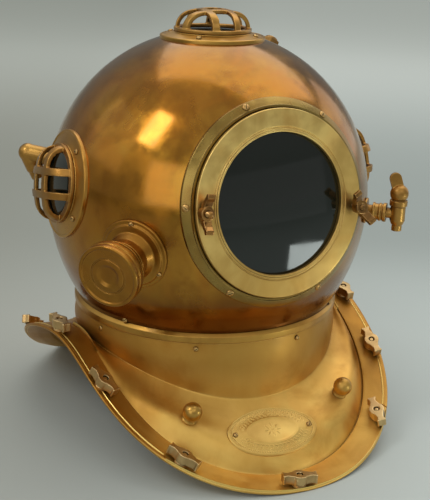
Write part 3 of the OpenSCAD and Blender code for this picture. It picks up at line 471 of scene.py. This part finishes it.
neck_ring = [turned(UPRIGHT, [(132.2, 118.3), (140.6, 118.3, 0.8), (141.5, 119.2, 0.5), (141.5, 125.2, 1.2),
                              (138.4, 128.4, 0.8), (136.6, 128.6), (133.86, 126.7), (133.86, 130.2),
                              (132.2, 130.2)], 256)]
for k in range(LUGS):
    rings = []
    for i in range(LUG_STEPS + 1):
        a = math.radians(360 / LUGS * k - LUG_SPAN / 2 + LUG_SPAN * i / LUG_STEPS)
        rings.append([polar(UPRIGHT, p.x, a, p.y) for p in eased(LUG)])
    neck_ring.append(capped(closed(rings, loop=False)))
piece("bonnet_neck_ring", gathered(neck_ring), trim_finish, "bonnet", "bonnet_ring")


def speckled(name, scale, dark, light, rough, relief=0.0):
    """Leather or rubber: fine dark and light specks, with a grain where it has a relief."""
    stuff = bpy.data.materials.new(name)
    stuff.use_nodes = True
    tree = stuff.node_tree
    face = tree.nodes["Principled BSDF"]
    face.inputs["Roughness"].default_value = rough
    where = tree.nodes.new("ShaderNodeTexCoord")
    grain = tree.nodes.new("ShaderNodeTexNoise")
    grain.inputs["Scale"].default_value = scale
    tint = tree.nodes.new("ShaderNodeValToRGB")
    tint.color_ramp.elements[0].color = dark + (1,)
    tint.color_ramp.elements[1].color = light + (1,)
    tree.links.new(where.outputs["Object"], grain.inputs["Vector"])
    tree.links.new(grain.outputs[0], tint.inputs["Fac"])
    tree.links.new(tint.outputs["Color"], face.inputs["Base Color"])
    if relief:
        bump = tree.nodes.new("ShaderNodeBump")
        bump.inputs["Distance"].default_value = relief
        tree.links.new(grain.outputs[0], bump.inputs["Height"])
        tree.links.new(bump.outputs[0], face.inputs["Normal"])
    return stuff


leather = speckled("oiled_leather", 260, (0.020, 0.012, 0.007), (0.090, 0.045, 0.022), 0.6, 0.0005)
for node, finish in (("corselet_ring", trim_finish), ("neck_gasket", leather)):
    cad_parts[node].data.materials.clear()
    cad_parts[node].data.materials.append(finish)

# Neck ring screws
# Round-headed brass screws, slotted, hold the neck rings to the sheet. The same tree of
# nodes later sets every screw of the windows and valves on its spot.
screw_finish = aged_brass("screw_brass", (0.58, 0.36, 0.12), (0.28, 0.14, 0.04), patches=0.40, gloss=0.32,
                          dents=0.0, wear=0.7)


def slotted(r, h, shank_r, shank_l):
    """One slotted screw: its domed head's radius and height, its shank's radius and length."""
    head = [(0, -shank_l), (shank_r, -shank_l, 0.2), (shank_r, -0.01), (r * 0.96, 0),
            (r, h * 0.12, r * 0.08), (r * 0.93, h * 0.55, r * 0.5), (r * 0.6, h * 0.9, r * 0.5), (0, h)]
    slit = bmesh.new()
    size = Matrix.Diagonal((2.4 * r * MM, 0.27 * r * MM, 0.95 * h * MM, 1))
    bmesh.ops.create_cube(slit, size=1, matrix=Matrix.Translation((0, 0, h * MM)) @ size)
    return bored(turned(UPRIGHT, head, 32, 3), [settled(slit, "slit")])


def repeated(name, item, spots, finish, size=1.0):
    """A tree of nodes that sets one item on every spot (a matrix each), as one plain mesh."""
    cloud = bpy.data.meshes.new(name)
    cloud.from_pydata([m.translation for m in spots], [], [])
    lean = cloud.attributes.new("lean", "FLOAT_VECTOR", "POINT")
    for k, m in enumerate(spots):
        lean.data[k].vector = m.to_euler("XYZ")
    base = placed(name, cloud)
    model = placed(name + "_item", item)
    tree = bpy.data.node_groups.new(name, "GeometryNodeTree")
    for label, kind, way in (("Geometry", "Geometry", "INPUT"), ("Item", "Object", "INPUT"),
                             ("Size", "Float", "INPUT"), ("Finish", "Material", "INPUT"),
                             ("Geometry", "Geometry", "OUTPUT")):
        tree.interface.new_socket(label, in_out=way, socket_type="NodeSocket" + kind)
    given = tree.nodes.new("NodeGroupInput")
    pattern = tree.nodes.new("GeometryNodeObjectInfo")
    leaning = tree.nodes.new("GeometryNodeInputNamedAttribute")
    leaning.data_type = "FLOAT_VECTOR"
    leaning.inputs["Name"].default_value = "lean"
    turn = tree.nodes.new("FunctionNodeEulerToRotation")
    put = tree.nodes.new("GeometryNodeInstanceOnPoints")
    solid = tree.nodes.new("GeometryNodeRealizeInstances")
    coat = tree.nodes.new("GeometryNodeSetMaterial")
    done = tree.nodes.new("NodeGroupOutput")
    for one, other in ((given.outputs["Geometry"], put.inputs["Points"]),
                       (given.outputs["Item"], pattern.inputs["Object"]),
                       (given.outputs["Size"], put.inputs["Scale"]),
                       (given.outputs["Finish"], coat.inputs["Material"]),
                       (pattern.outputs["Geometry"], put.inputs["Instance"]),
                       (leaning.outputs[0], turn.inputs[0]),
                       (turn.outputs[0], put.inputs["Rotation"]),
                       (put.outputs["Instances"], solid.inputs[0]),
                       (solid.outputs[0], coat.inputs["Geometry"]),
                       (coat.outputs[0], done.inputs[0])):
        tree.links.new(one, other)
    spread = base.modifiers.new("spread", "NODES")
    spread.node_group = tree
    for socket in tree.interface.items_tree:
        value = {"Item": model, "Size": size, "Finish": finish}.get(socket.name)
        if value is not None:
            spread[socket.identifier] = value
    return worked(base, model)


def fastened(name, item, spots, finish, body, node):
    """Hangs one item on every spot, as one piece."""
    piece(name, repeated(name, item, spots, finish), finish, body, node)


def round_the_neck(r, z, angles):
    """Spots on a circle round the neck, heads outwards, their slots turned this way and that."""
    spots = []
    for k, a in enumerate(angles):
        s, c = math.sin(math.radians(a)), -math.cos(math.radians(a))
        m = Matrix(((-c, 0, s, r * s * MM), (s, 0, c, r * c * MM), (0, 1, 0, z * MM), (0, 0, 0, 1)))
        spots.append(m @ spun(math.radians(35 + 47 * k)))
    return spots


fastened("bonnet_neck_screws", slotted(2.9, 1.9, 1.2, 2.2),
         round_the_neck(139.4, 130.9, (-62, 42, 118, -138)), screw_finish, "bonnet",
         "bonnet_ring_screws")
fastened("corselet_neck_screws", slotted(2.6, 1.8, 1.2, 2.2),
         round_the_neck(140.1, 112.4, (-31, 14, 59, 149, -166, -76)), screw_finish, "corselet",
         "corselet_ring_screws")

# Front window flange
# A cast brass flange with a skirt that is fitted to the dome, screwed and soldered on. It
# carries the flat seat, the rubber ring and the two studs of the door.
DOOR_STUD_R, DOOR_STUD_ANGLES = 82.5, (180, -7)
flange_finish = aged_brass("flange_brass", (0.34, 0.225, 0.055), (0.17, 0.085, 0.014), patches=0.55,
                           gloss=0.24, dents=0.05, lathe=along(FRONT))


def skin_height(place, across, a, lift):
    """How far out on a fitting's axis the dome's skin, grown by lift, lies."""
    side = place.to_3x3() @ Vector((math.cos(a), math.sin(a), 0)) * across
    out = place.to_3x3() @ Vector((0, 0, 1))
    low, high = 60.0, 240.0
    for _ in range(40):
        h = (low + high) / 2
        p = side + out * h
        r = math.hypot(p.x, p.y)
        gap = math.hypot(r, p.z) - DOME_R if p.z > 0 else math.hypot(r - FLANK_X, p.z) - FLANK_R
        low, high = (h, high) if gap < lift else (low, h)
    return h


def moulded(direction, corners, steps):
    """A fitting turned round its axis, whose corners marked "skin" follow the dome."""
    place = along(direction)
    rings = []
    for k in range(steps):
        a = 2 * math.pi * k / steps
        line = [(c[0], skin_height(place, c[0], a, c[1]) if c[3:] else c[1], c[2]) for c in corners]
        rings.append([polar(place, p.x, a, p.y) for p in eased(line)])
    return closed(rings)


def on_skin(direction, across, angles, lift, turn=20):
    """Screw spots on a fitting's skirt, at the given angles round its axis."""
    place = along(direction)
    spots = []
    for k, a in enumerate(math.radians(v) for v in angles):
        p = polar(place, across, a, skin_height(place, across, a, lift))
        level = Vector((p.x, p.y, 0)) / MM
        out = level + Vector((0, 0, p.z / MM - DOME_Z))
        if out.z <= 0:
            out -= level.normalized() * FLANK_X
        m = out.to_track_quat("Z", "Y").to_matrix().to_4x4() @ spun(math.radians(turn + 61 * k))
        m.translation = p
        spots.append(m)
    return spots


ring = moulded(FRONT, [(FRONT_R, -0.4, 0, "skin"), (99.5, 0.0, 0, "skin"), (99.5, 2.3, 1.1, "skin"),
                       (93.6, 2.6, 0, "skin"), (FRONT_R, 2.6, 0.8, "skin"), (FRONT_R, 145.1, 0),
                       (91.9, 145.1, 0), (90.0, 145.1, 0.5), (90.0, 142.5, 0), (73.5, 142.5, 0.6),
                       (73.5, 128.5, 0.6), (FRONT_R, 128.5, 0)], 224)
door_spots = []
for a in (math.radians(v) for v in DOOR_STUD_ANGLES):
    side = Matrix.Translation((DOOR_STUD_R * math.cos(a) * MM, DOOR_STUD_R * math.sin(a) * MM, 0))
    door_spots.append(along(FRONT) @ side @ spun(a))
ring = bored(ring, [rod(m, 3.0, 127.5, 150, 48) for m in door_spots])
piece("front_window_flange", ring, flange_finish, "bonnet", "front_flange", crease=32)
rubber = speckled("black_rubber", 400, (0.008, 0.008, 0.008), (0.030, 0.030, 0.028), 0.7)
seal = turned(along(FRONT), [(74.0, 142.5, 0.5), (78.0, 142.5, 0.5), (78.0, 144.0, 0.5), (74.0, 144.0, 0.5)])
piece("front_rubber_ring", seal, rubber, "bonnet", "front_gasket")
fastened("front_flange_screws_set", slotted(3.6, 2.0, 1.5, 2.2),
         on_skin(FRONT, 96.1, (56, 108, 177, 235, 296, 356), 2.3), screw_finish, "bonnet",
         "front_flange_screws")

# Front door
# A heavy cast ring that lifts off its two studs, turned on its face and left plain. A thin
# bezel holds the domed plate glass down in its rebate.
# Painted shade: the door ring is darkened towards its bottom.
door_finish = aged_brass("door_brass", (0.92, 0.66, 0.22), (0.46, 0.24, 0.045), patches=0.60, gloss=0.38,
                         dents=0.04, corner_darkness=0.6, painted_shade_bands=(("Z", 0.30, 0.15, 0.65),), lathe=along(FRONT))
door = turned(along(FRONT), [(65.3, 137.1, 0.5), (72.5, 137.1, 0.8), (72.5, 144.2), (89.4, 144.2, 0.6),
                             (89.4, 149.6, 1.5), (87.6, 149.6), (74.2, 149.6), (72.6, 149.6, 0.5),
                             (72.1, 148.9, 0.4), (71.3, 148.9, 0.4), (70.9, 149.6, 0.4), (69.6, 149.6, 0.3),
                             (69.6, 139.6), (65.3, 139.6)], 224)
door = bored(door, [rod(m, 3.3, 143, 151, 48) for m in door_spots])
piece("front_door", door, door_finish, "door", "front_door_ring")
bezel = turned(along(FRONT), [(67.3, 145.9), (69.5, 145.8), (69.5, 150.3, 0.6), (67.3, 150.3, 0.9)], 224)
piece("front_bezel", bezel, door_finish, "door", "front_glass_bezel")

# The glass is thick and a little smeared. It is painted nearly black, as painted shade for the dark inside
# of the helmet behind it.
glass = bpy.data.materials.new("shade_black_glass")
glass.use_nodes = True
tree = glass.node_tree
pane = tree.nodes["Principled BSDF"]
pane.inputs["Base Color"].default_value = (0.006, 0.009, 0.006, 1)
pane.inputs["IOR"].default_value = 1.52
pane.inputs["Transmission Weight"].default_value = 0.05
smear = tree.nodes.new("ShaderNodeTexNoise")
smear.inputs["Scale"].default_value = 30
smear.inputs["Detail"].default_value = 3
haze = tree.nodes.new("ShaderNodeMapRange")
haze.inputs["To Min"].default_value = 0.02
haze.inputs["To Max"].default_value = 0.12
tree.links.new(tree.nodes.new("ShaderNodeTexCoord").outputs["Object"], smear.inputs["Vector"])
tree.links.new(smear.outputs[0], haze.inputs["Value"])
tree.links.new(haze.outputs["Result"], pane.inputs["Roughness"])

PANE_R, PANE_BACK, PANE_EDGE, BULGE, PANE_ROWS = 69.5, 139.65, 145.6, 5.0, 22
ball_r = (PANE_R ** 2 + BULGE ** 2) / (2 * BULGE)
line = [(0, PANE_BACK), (PANE_R - 0.3, PANE_BACK), (PANE_R, PANE_BACK + 0.3), (PANE_R, PANE_EDGE - 0.3)]
for k in range(PANE_ROWS + 1):
    r = PANE_R * (1 - k / PANE_ROWS)
    line.append((r, PANE_EDGE + math.sqrt(ball_r ** 2 - r ** 2) - ball_r + BULGE))
piece("front_pane", turned(along(FRONT), line, 224), glass, "door", "front_glass")

# Door studs and nuts
# Two threaded studs stand in the flange. A cast nut with wings in a V, darker than the
# ring, screws down on each; the left one is backed off a few turns.
PITCH = 1.1
nut_finish = aged_brass("nut_brass", (0.42, 0.22, 0.06), (0.11, 0.045, 0.012), patches=0.70, gloss=0.25,
                        dents=0.05, corner_darkness=0.9, wear=0.95, edge=0.9)


def threaded(foot, r, low, high):
    """Outline of a stud on its foot, with a cut thread and a rounded tip."""
    line = foot + [(r, low)]
    z = low + 1
    while z < high - 1.6:
        line += [(r, z), (r * 0.86, z + PITCH * 0.5)]
        z += PITCH
    return line + [(r, high - 1.4), (r * 0.94, high - 0.9, 0.4), (r * 0.6, high, 0.6), (0, high)]


door_stud = threaded([(0, 132.5)], 3.0, 132.5, 165.4)
piece("door_stud_pair", gathered([turned(m, door_stud, 40, 3) for m in door_spots]), nut_finish, "bonnet",
      "door_studs")


def casting(name, node, grain, passes, finish, body):
    """A casting: the node's solid with its edges and corners run round, as out of a sand mould."""
    form = bmesh.new()
    form.from_mesh(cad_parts[node].data)
    bmesh.ops.remove_doubles(form, verts=form.verts, dist=2e-6)
    block = placed(node + "_block", settled(form, node))
    grid = block.modifiers.new("grid", "REMESH")
    grid.mode = "VOXEL"
    grid.voxel_size = grain * MM
    soften = block.modifiers.new("soften", "SMOOTH")
    soften.factor = 0.5
    soften.iterations = passes
    piece(name, worked(block), finish, body, node, crease=180)


for name in ("door_nut_right", "door_nut_left"):
    casting(name + "_casting", name, 0.42, 5, nut_finish, name)

# Side and top windows
# Each has a turned brass flange with a beaded rim, screwed to the dome, and a flat glass in
# its seat. A domed cage of two and two crossing bars, cast in one, guards the glass.
guard_finish = aged_brass("guard_brass", (0.50, 0.27, 0.06), (0.20, 0.09, 0.02), patches=0.50, gloss=0.34,
                          dents=0.03, wear=0.8, edge=0.5)
window_screw = slotted(2.9, 1.8, 1.3, 2.2)
for side, direction, turn in (("right", RIGHT, 10), ("left", LEFT, -10), ("top", TOP, 0)):
    node = "top_%s" if side == "top" else "side_%s_" + side
    rim = moulded(direction, [(WINDOW_R, -0.4, 0, "skin"), (53.5, 0.0, 0, "skin"), (53.5, 3.1, 1.2, "skin"),
                              (51.3, 3.2, 0.9, "skin"), (50.6, 2.3, 0.5, "skin"), (40.6, 2.4, 0, "skin"),
                              (WINDOW_R, 2.5, 0.6, "skin"), (WINDOW_R, 166.49, 0.7), (35.6, 166.49, 0.4),
                              (35.6, 160.49, 0), (31.5, 160.49, 0.4), (31.5, 154.3, 0.4),
                              (WINDOW_R, 154.3, 0)], 176)
    flat = turned(along(direction), [(0, 160.55), (35.5, 160.55, 0.5), (35.5, 166.49, 0.6), (0, 166.49)],
                  128)
    spots = on_skin(direction, 45.2, [45 + turn + 90 * k for k in range(4)], 2.3, 30)
    piece(side + "_window_flange", rim, trim_finish, "bonnet", node % "flange", crease=32)
    piece(side + "_window_pane", flat, glass, "bonnet", node % "glass")
    casting(side + "_window_guard", node % "guard", 0.6, 5, guard_finish, "bonnet")
    fastened(side + "_window_screws", window_screw, spots, screw_finish, "bonnet",
             node % "screws")

# Exhaust valve
# A cast neck on a stepped foot, three screws, and a turned cap with a rolled edge that the
# diver sets by hand. Inside, a bronze spring presses a disc on its seat.
COIL_R, WIRE_R, COILS, FOOT_Z, HEAD_Z, DISC_TRAVEL = 6.0, 0.8, 5, 190.9, 212.2, 5.0
exhaust = along(EXHAUST)
valve_finish = aged_brass("valve_brass", (0.43, 0.21, 0.028), (0.22, 0.09, 0.010), patches=0.45, gloss=0.31,
                          dents=0.04, wear=0.7, lathe=exhaust)
spring_finish = aged_brass("spring_bronze", (0.52, 0.30, 0.09), (0.26, 0.13, 0.04), patches=0.3, gloss=0.25,
                           dents=0.0)
casting("exhaust_neck", "exhaust_body", 0.6, 4, valve_finish, "bonnet")
cap = turned(exhaust, [(20.3, 198.0, 0.3), (27.2, 198.0, 0.8), (27.4, 200.4, 0.5), (26.4, 200.9, 0.3),
                       (26.4, 201.6, 0.3), (27.4, 202.0, 0.4), (27.8, 204.2, 0.4), (30.0, 205.4, 1.4),
                       (30.0, 210.0, 1.2), (29.2, 211.0, 0.5), (29.2, 211.7, 0.5), (30.0, 212.6, 1.0),
                       (30.0, 218.0, 2.2), (26.9, 218.0, 1.2), (26.2, 216.6, 0.7), (17.8, 216.4, 0.3),
                       (17.4, 215.6, 0.4), (16.2, 215.6, 0.4), (15.7, 216.5, 0.5), (11.4, 216.7, 0.8),
                       (8.0, 214.9, 2.5), (0, 214.6), (0, 212.5), (20.3, 212.5)], 192, 5)
piece("exhaust_cap_turned", cap, valve_finish, "exhaust_cap", "exhaust_cap")
disc = turned(exhaust, [(0, 142.5), (11, 142.5, 0.6), (11, 146, 0.6), (3, 146, 0.4), (3, 188.2),
                        (13, 188.2, 0.4), (13, 190.5, 0.5), (3, 190.6, 0.3), (3, 195, 0.6), (0, 195)], 64)
piece("exhaust_disc_turned", disc, valve_finish, "exhaust_disc", "exhaust_disc")
fastened("exhaust_screws_set", slotted(2.6, 2.6, 1.3, 2.6), on_skin(EXHAUST, 30.4, (90, 210, 330), 3.0, 40),
         screw_finish, "bonnet", "exhaust_screws")
wire = []
for k in range(COILS * 30 + 1):
    a = 2 * math.pi * k / 30
    z = FOOT_Z + WIRE_R + (HEAD_Z - FOOT_Z - 2 * WIRE_R) * k / (COILS * 30)
    wire.append([polar(exhaust, COIL_R + WIRE_R * math.cos(q), a, z + WIRE_R * math.sin(q))
                 for q in (math.pi * j / 5 for j in range(10))])
spring = piece("exhaust_spring_coil", capped(closed(wire, loop=False)), spring_finish, "bonnet",
               "exhaust_spring", crease=80)
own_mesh(spring)

# Spitcock
# A small cast cock beside the front window: a collared pipe, an upright barrel with a spout
# and a tapered plug, which turns by the flat lever on its ball.
cock_finish = aged_brass("cock_brass", (0.50, 0.27, 0.06), (0.20, 0.09, 0.02), patches=0.50, gloss=0.33,
                         dents=0.04, corner_darkness=0.9, wear=0.8, edge=0.5)
casting("spitcock_casting", "spitcock_body", 0.42, 4, cock_finish, "bonnet")
casting("spitcock_handle", "spitcock_plug", 0.40, 5, cock_finish, "spitcock_plug")

# Air inlet and telephone gland
# At the back, a cast elbow takes the air hose, with a light disc that stops the air from
# going back, and a gland with its six-sided nut lets the telephone cable in.
casting("inlet_casting", "inlet_elbow", 0.6, 5, cock_finish, "bonnet")
disc = turned(along(INLET), [(0, 165.1), (8.6, 165.1, 0.7), (8.6, 166.8, 0.4), (0, 166.8)], 64)
piece("inlet_disc_turned", disc, cock_finish, "inlet_valve_disc", "inlet_valve_disc")
casting("telephone_gland", "phone_gland", 0.6, 4, valve_finish, "bonnet")
casting("telephone_nut", "phone_gland_nut", 0.4, 3, nut_finish, "bonnet")

# Corselet plate
# Breastplate, back and collar are beaten out of one brass sheet. Its edge is a flat brim,
# 26 to 34 mm wide, that rises over the shoulders; the whole helmet rests on its two tips.
REACH, RISE = (232, 219, 190, 178, 200, 212, 232), (2.5, 21, 74, 105, 66, 8, 2.5)
COLLAR_R, COLLAR_TOP, COLLAR_BELL = 138.8, 117.6, 2.2
CREASE_R, CREASE_Z, CREASE_DIP = 140, 75.5, 19.5
BRIM, BRIM_AT_TIPS = 26.5, 7
SWELL, SWELL_AT_TIPS, SWELL_MOST, SWELL_LOW = 14, 6, 0.55, 2.2
LOSS_RIGHT, LOSS_LEFT, LOSS_FROM, LOSS_OVER = 0.85, 0.6, 0.57, 0.40
FOLD, FOLD_ROUND = 12, 0.85
PLATE_STEPS = 432
SHARES = (0.03, 0.07, 0.12, 0.18, 0.25, 0.32, 0.39, 0.46, 0.53, 0.6, 0.66, 0.72, 0.77, 0.82, 0.86, 0.9,
          0.93, 0.96)
# Painted shade: the plate is darkened up towards the collar and out towards both shoulders.
plate_finish = aged_brass("corselet_brass", (0.83, 0.535, 0.135), (0.52, 0.225, 0.022), patches=0.42,
                          gloss=0.47, dents=0.10, corner_darkness=0.6, wear=1.0,
                          painted_shade_bands=(("Z", 0.050, 0.100, 0.65), ("X", 0.10, 0.155, 0.78)))


def wave(values):
    """The cosine waves that add up to values set evenly from the front tip to the back tip."""
    last = len(values) - 1
    waves = []
    for k in range(last + 1):
        ends = values[0] / 2 + values[last] / 2 * math.cos(math.pi * k)
        inside = sum(values[j] * math.cos(math.pi * k * j / last) for j in range(1, last))
        waves.append((1 if k in (0, last) else 2) / last * (ends + inside))
    return waves


REACH_WAVE, RISE_WAVE = wave(REACH), wave(RISE)


def brim_reach(a):
    """Radius of the brim's outer edge at the angle a round from the front."""
    return sum(w * math.cos(k * a) for k, w in enumerate(REACH_WAVE))


def brim_rise(a):
    """Height of the brim's top face."""
    return sum(w * math.cos(k * a) for k, w in enumerate(RISE_WAVE))


def crease_z(a):
    """Height of the line where the collar meets the breastplate."""
    return CREASE_Z - CREASE_DIP * math.cos(2 * a)


def brim_width(a):
    """Width of the flat brim, which is broadest at its two tips."""
    return BRIM + BRIM_AT_TIPS * abs(math.cos(a)) ** 6


def chest_length(a):
    """How far the plate runs from the crease to the brim's inner edge."""
    return brim_reach(a) - brim_width(a) - CREASE_R


def flank_share(a):
    """Share of the swell that is left as the plate turns up to the shoulders, and at the back."""
    loss = LOSS_RIGHT if math.sin(a) < 0 else LOSS_LEFT
    if math.cos(a) < 0:
        return 1 - loss
    turn = min(max((abs(math.asin(math.sin(a))) - LOSS_FROM) / LOSS_OVER, 0.0), 1.0)
    return 1 - loss * turn * turn * (3 - 2 * turn)


def fold_lift(r, a):
    """Lift of the soft fold where the breastplate runs out into the brim by the right arm."""
    fall = max(0.0, (crease_z(a) - brim_rise(a)) / chest_length(a))
    t = (r - brim_reach(a) + brim_width(a)) / FOLD
    fade = min(max((1.25 - t) / 0.5, 0.0), 1.0)
    return FOLD / 2 * fall * (math.hypot(t, FOLD_ROUND) - abs(t)) * max(0.0, -math.sin(a)) * fade


def plate_top(r, a):
    """Height of the plate's top face at the radius r and the angle a."""
    s = (r - CREASE_R) / chest_length(a)
    full = SWELL - SWELL_AT_TIPS * abs(math.cos(a)) ** 6
    swell = min(full, SWELL_MOST * chest_length(a)) * flank_share(a)
    if s >= 1:
        return brim_rise(a) + fold_lift(r, a)
    if s <= 0:
        return crease_z(a)
    slope = (1 - s) * crease_z(a) + s * brim_rise(a)
    return slope + swell * math.sin(math.pi * s ** SWELL_LOW) + fold_lift(r, a)


def groove(a):
    """Depth of the set line at the brim's inner edge, deepest beside the left shoulder."""
    return 0.7 * min(1.0, 1 + math.sin(a)) + 2.2 * max(0.0, math.sin(a)) ** 0.7


rings = []
for k in range(PLATE_STEPS):
    a = 2 * math.pi * k / PLATE_STEPS
    outer, level = brim_reach(a), brim_rise(a)
    inner = outer - brim_width(a)
    line = [(0, 0), (COLLAR_R, COLLAR_TOP, 0.0)]
    for s in (i / 8 for i in range(1, 8)):
        bell = COLLAR_BELL * math.sin(math.pi * s)
        line.append((COLLAR_R * (1 - s) + CREASE_R * s + bell, COLLAR_TOP * (1 - s) + crease_z(a) * s))
    line.append((CREASE_R, crease_z(a) + 0.3, 2.2))
    for r in [CREASE_R + chest_length(a) * s for s in SHARES] + [inner - 0.9]:
        line.append((r, plate_top(r, a)))
    line.append((inner + 0.3, plate_top(inner + 0.3, a) - groove(a), 0.4))
    line.append((inner + 1.5, plate_top(inner + 1.5, a), 0.5))
    for r in (inner + 4, inner + 6.5, inner + 9, inner + 12):
        line.append((r, plate_top(r, a)))
    line += [(outer - 12, level), (outer - 3.6, level, 0.6), (outer - 2.6, level + 0.15, 0.4)]
    edge = [(outer - 1.4, level + 0.15), (outer - 0.7, level), (outer - 0.15, level - 0.5),
            (outer, level - 1.3)]
    top = eased(line, 3)[1:] + [Vector(p) for p in edge]
    under = []
    for i, p in enumerate(top[:-3]):
        run = (top[i + 1] - top[max(i - 1, 0)]).normalized()
        under.append(Vector((p.x + run.y * SHEET, p.y - run.x * SHEET)))
    under += [Vector((outer - 0.7, level - 3.0)), Vector((outer - 0.1, level - 2.2))]
    rings.append([polar(UPRIGHT, p.x, a - math.pi / 2, max(p.y, 0.0)) for p in top + under[::-1]])
piece("corselet_sheet", closed(rings), plate_finish, "corselet", "corselet_plate", crease=50)

# Brim studs and wing nuts
# Twelve studs with bosses are riveted through the brim. On each sits a cast butterfly nut,
# which once clamped the collar of the suit under brass straps.
STUDS, STUD_INSET = (-3, 33, 57, 81, 116, 148, 180, -148, -118, -89, -61, -33), 8.8
STUD_FOOT = [(0, -1.2), (6.5, -1.2), (6.5, 2.3), (5.9, 3.0), (3.4, 3.0)]
wing_finish = aged_brass("wing_brass", (0.70, 0.50, 0.23), (0.28, 0.15, 0.042), patches=0.60, gloss=0.34,
                         dents=0.04, corner_darkness=0.9, wear=1.0, edge=1.0)


def plate_at(x, y):
    """Height of the plate's top face over a place on the floor."""
    return plate_top(math.hypot(x, y), math.atan2(x, -y))


def on_plate(r, a, span=6.0):
    """A place on the plate's top face, its +Z along the face's normal."""
    x, y = r * math.sin(a), -r * math.cos(a)
    n = Vector(((plate_at(x - span, y) - plate_at(x + span, y)) / (2 * span),
                (plate_at(x, y - span) - plate_at(x, y + span)) / (2 * span), 1)).normalized()
    t = Vector((math.cos(a), math.sin(a), 0))
    u = (t - n * t.dot(n)).normalized()
    m = Matrix((u, n.cross(u), n)).transposed().to_4x4()
    m.translation = Vector((x, y, plate_at(x, y))) * MM
    return m


spots = [on_plate(brim_reach(a) - STUD_INSET, a, 10) for a in (math.radians(v) for v in STUDS)]
brim_stud = turned(UPRIGHT, threaded(STUD_FOOT, 3.0, 2.6, 11.4), 32, 3)
fastened("brim_stud_set", brim_stud, spots, wing_finish, "corselet", "corselet_studs")
for k in range(len(STUDS)):
    name = "wing_nut_%02d" % (k + 1)
    casting(name + "_casting", name, 0.45, 4, wing_finish, name)

# Ball studs
# Two brass balls on short necks stand on the chest, for a lanyard or the weight straps.
BALL_R, BALL_Z, BALL_STEPS = 9.5, 10.64, 22
polished = aged_brass("ball_brass", (0.58, 0.33, 0.07), (0.34, 0.17, 0.03), patches=0.40, gloss=0.36,
                      dents=0.02, wear=0.3)
ball = [(0, -1.4), (7.6, -1.4), (7.6, 0.5, 0.4), (6.4, 1.2, 0.5)]
for k in range(BALL_STEPS):
    t = math.radians(-54 + 144 * k / BALL_STEPS)
    ball.append((BALL_R * math.cos(t), BALL_Z + BALL_R * math.sin(t)))
ball.append((0, BALL_Z + BALL_R))
spots = [on_plate(CREASE_R + 0.59 * chest_length(a), a) for a in (math.radians(-32), math.radians(29))]
fastened("chest_balls", turned(UPRIGHT, ball, 72), spots, polished, "corselet", "ball_studs")

# Name plate
# A thin oval of brass, bent over the chest and held by two screws. It is left without
# words: a rope edge, an inner oval line, a ring of leaves and a rosette are stamped in it.
OVAL_LONG, OVAL_WIDE, OVAL_STEPS = 48.5, 20, 160
BEADS, LEAVES, PETALS = 104, 44, 8
SCREW_OUT, SCREW_GAP = 40.5, 0.965
TURN = math.radians(-3.5)
NAME_AT = CREASE_R + 0.51 * chest_length(TURN)
FACE = [(1.0, -0.15), (1.0, 1.2), (0.985, 1.6), (0.955, 1.6), (0.945, 1.25), (0.90, 1.25), (0.86, 1.25),
        (0.60, 1.25), (0.585, 1.5), (0.565, 1.5), (0.55, 1.25), (0.45, 1.25), (0.3, 1.25), (0.15, 1.25),
        (0.0, 1.25), (0.0, -0.1), (0.5, -0.1)]
label_finish = aged_brass("label_brass", (0.82, 0.54, 0.15), (0.52, 0.27, 0.045), patches=0.40, gloss=0.44,
                          dents=0.02, corner_darkness=0.7, wear=0.8)


def on_label(across, up_chest, lift=1.3):
    """A place on the bent oval: mm along its length, mm up the chest, mm over the sheet."""
    out = NAME_AT - up_chest
    x = across * math.cos(TURN) + out * math.sin(TURN)
    y = across * math.sin(TURN) - out * math.cos(TURN)
    m = on_plate(math.hypot(x, y), math.atan2(x, -y), 3.0)
    m.translation = m.translation + Vector((0, 0, lift * MM))
    return m


def on_oval(t, share, lift=1.3):
    """A place on an oval inside the plate's edge, at the angle t."""
    return on_label(OVAL_LONG * share * math.cos(t), OVAL_WIDE * share * math.sin(t), lift)


def heading(t):
    """The way that the oval runs at the angle t."""
    return math.atan2(-OVAL_WIDE * math.cos(t), OVAL_LONG * math.sin(t))


def bead(name, around, half_sizes):
    """A small raised bead, as a stamp leaves it."""
    form = bmesh.new()
    bmesh.ops.create_uvsphere(form, u_segments=around, v_segments=6, radius=MM,
                              matrix=Matrix.Diagonal(half_sizes + (1,)))
    return settled(form, name)


rings = []
for t in (2 * math.pi * k / OVAL_STEPS for k in range(OVAL_STEPS)):
    rings.append([on_oval(t, share, lift).translation for share, lift in FACE])
stamped = [closed(rings)]
spots = []
for t in (2 * math.pi * k / BEADS for k in range(BEADS)):
    bead_spot = on_label(OVAL_LONG * 0.905 * math.cos(t), OVAL_WIDE * 0.90 * math.sin(t), 1.35)
    spots.append(bead_spot @ spun(math.radians(220) + heading(t)))
stamped.append(repeated("border", bead("rope", 10, (0.75, 0.54, 0.525)), spots, label_finish))
leaf = bead("leaf", 12, (2.1, 0.8, 0.42))
spots = []
for t in (2 * math.pi * (k + 0.5) / LEAVES for k in range(LEAVES)):
    if abs(math.cos(t)) <= SCREW_GAP:
        spots += [on_oval(t, 0.735 + 0.055 * side) @ spun(side * 0.45 - heading(t)) for side in (-1, 1)]
stamped.append(repeated("wreath", leaf, spots, label_finish))
spots = []
for t in (2 * math.pi * k / PETALS for k in range(PETALS)):
    spots.append(on_label(6.75 * math.cos(t), 4.32 * math.sin(t)) @ spun(t))
stamped.append(repeated("rosette", leaf, spots, label_finish, 1.25))
stamped.append(repeated("heart", leaf, [on_label(0, 0) @ Matrix.Diagonal((0.5, 1.2, 1, 1))], label_finish))
piece("name_oval", gathered(stamped), label_finish, "corselet", "name_plate", crease=45)
fastened("name_oval_screws", slotted(2.6, 1.7, 1.1, 1.2),
         [on_label(side * SCREW_OUT, 0) @ spun(1.1 * side) for side in (-1, 1)], screw_finish, "corselet",
         "name_plate_screws")
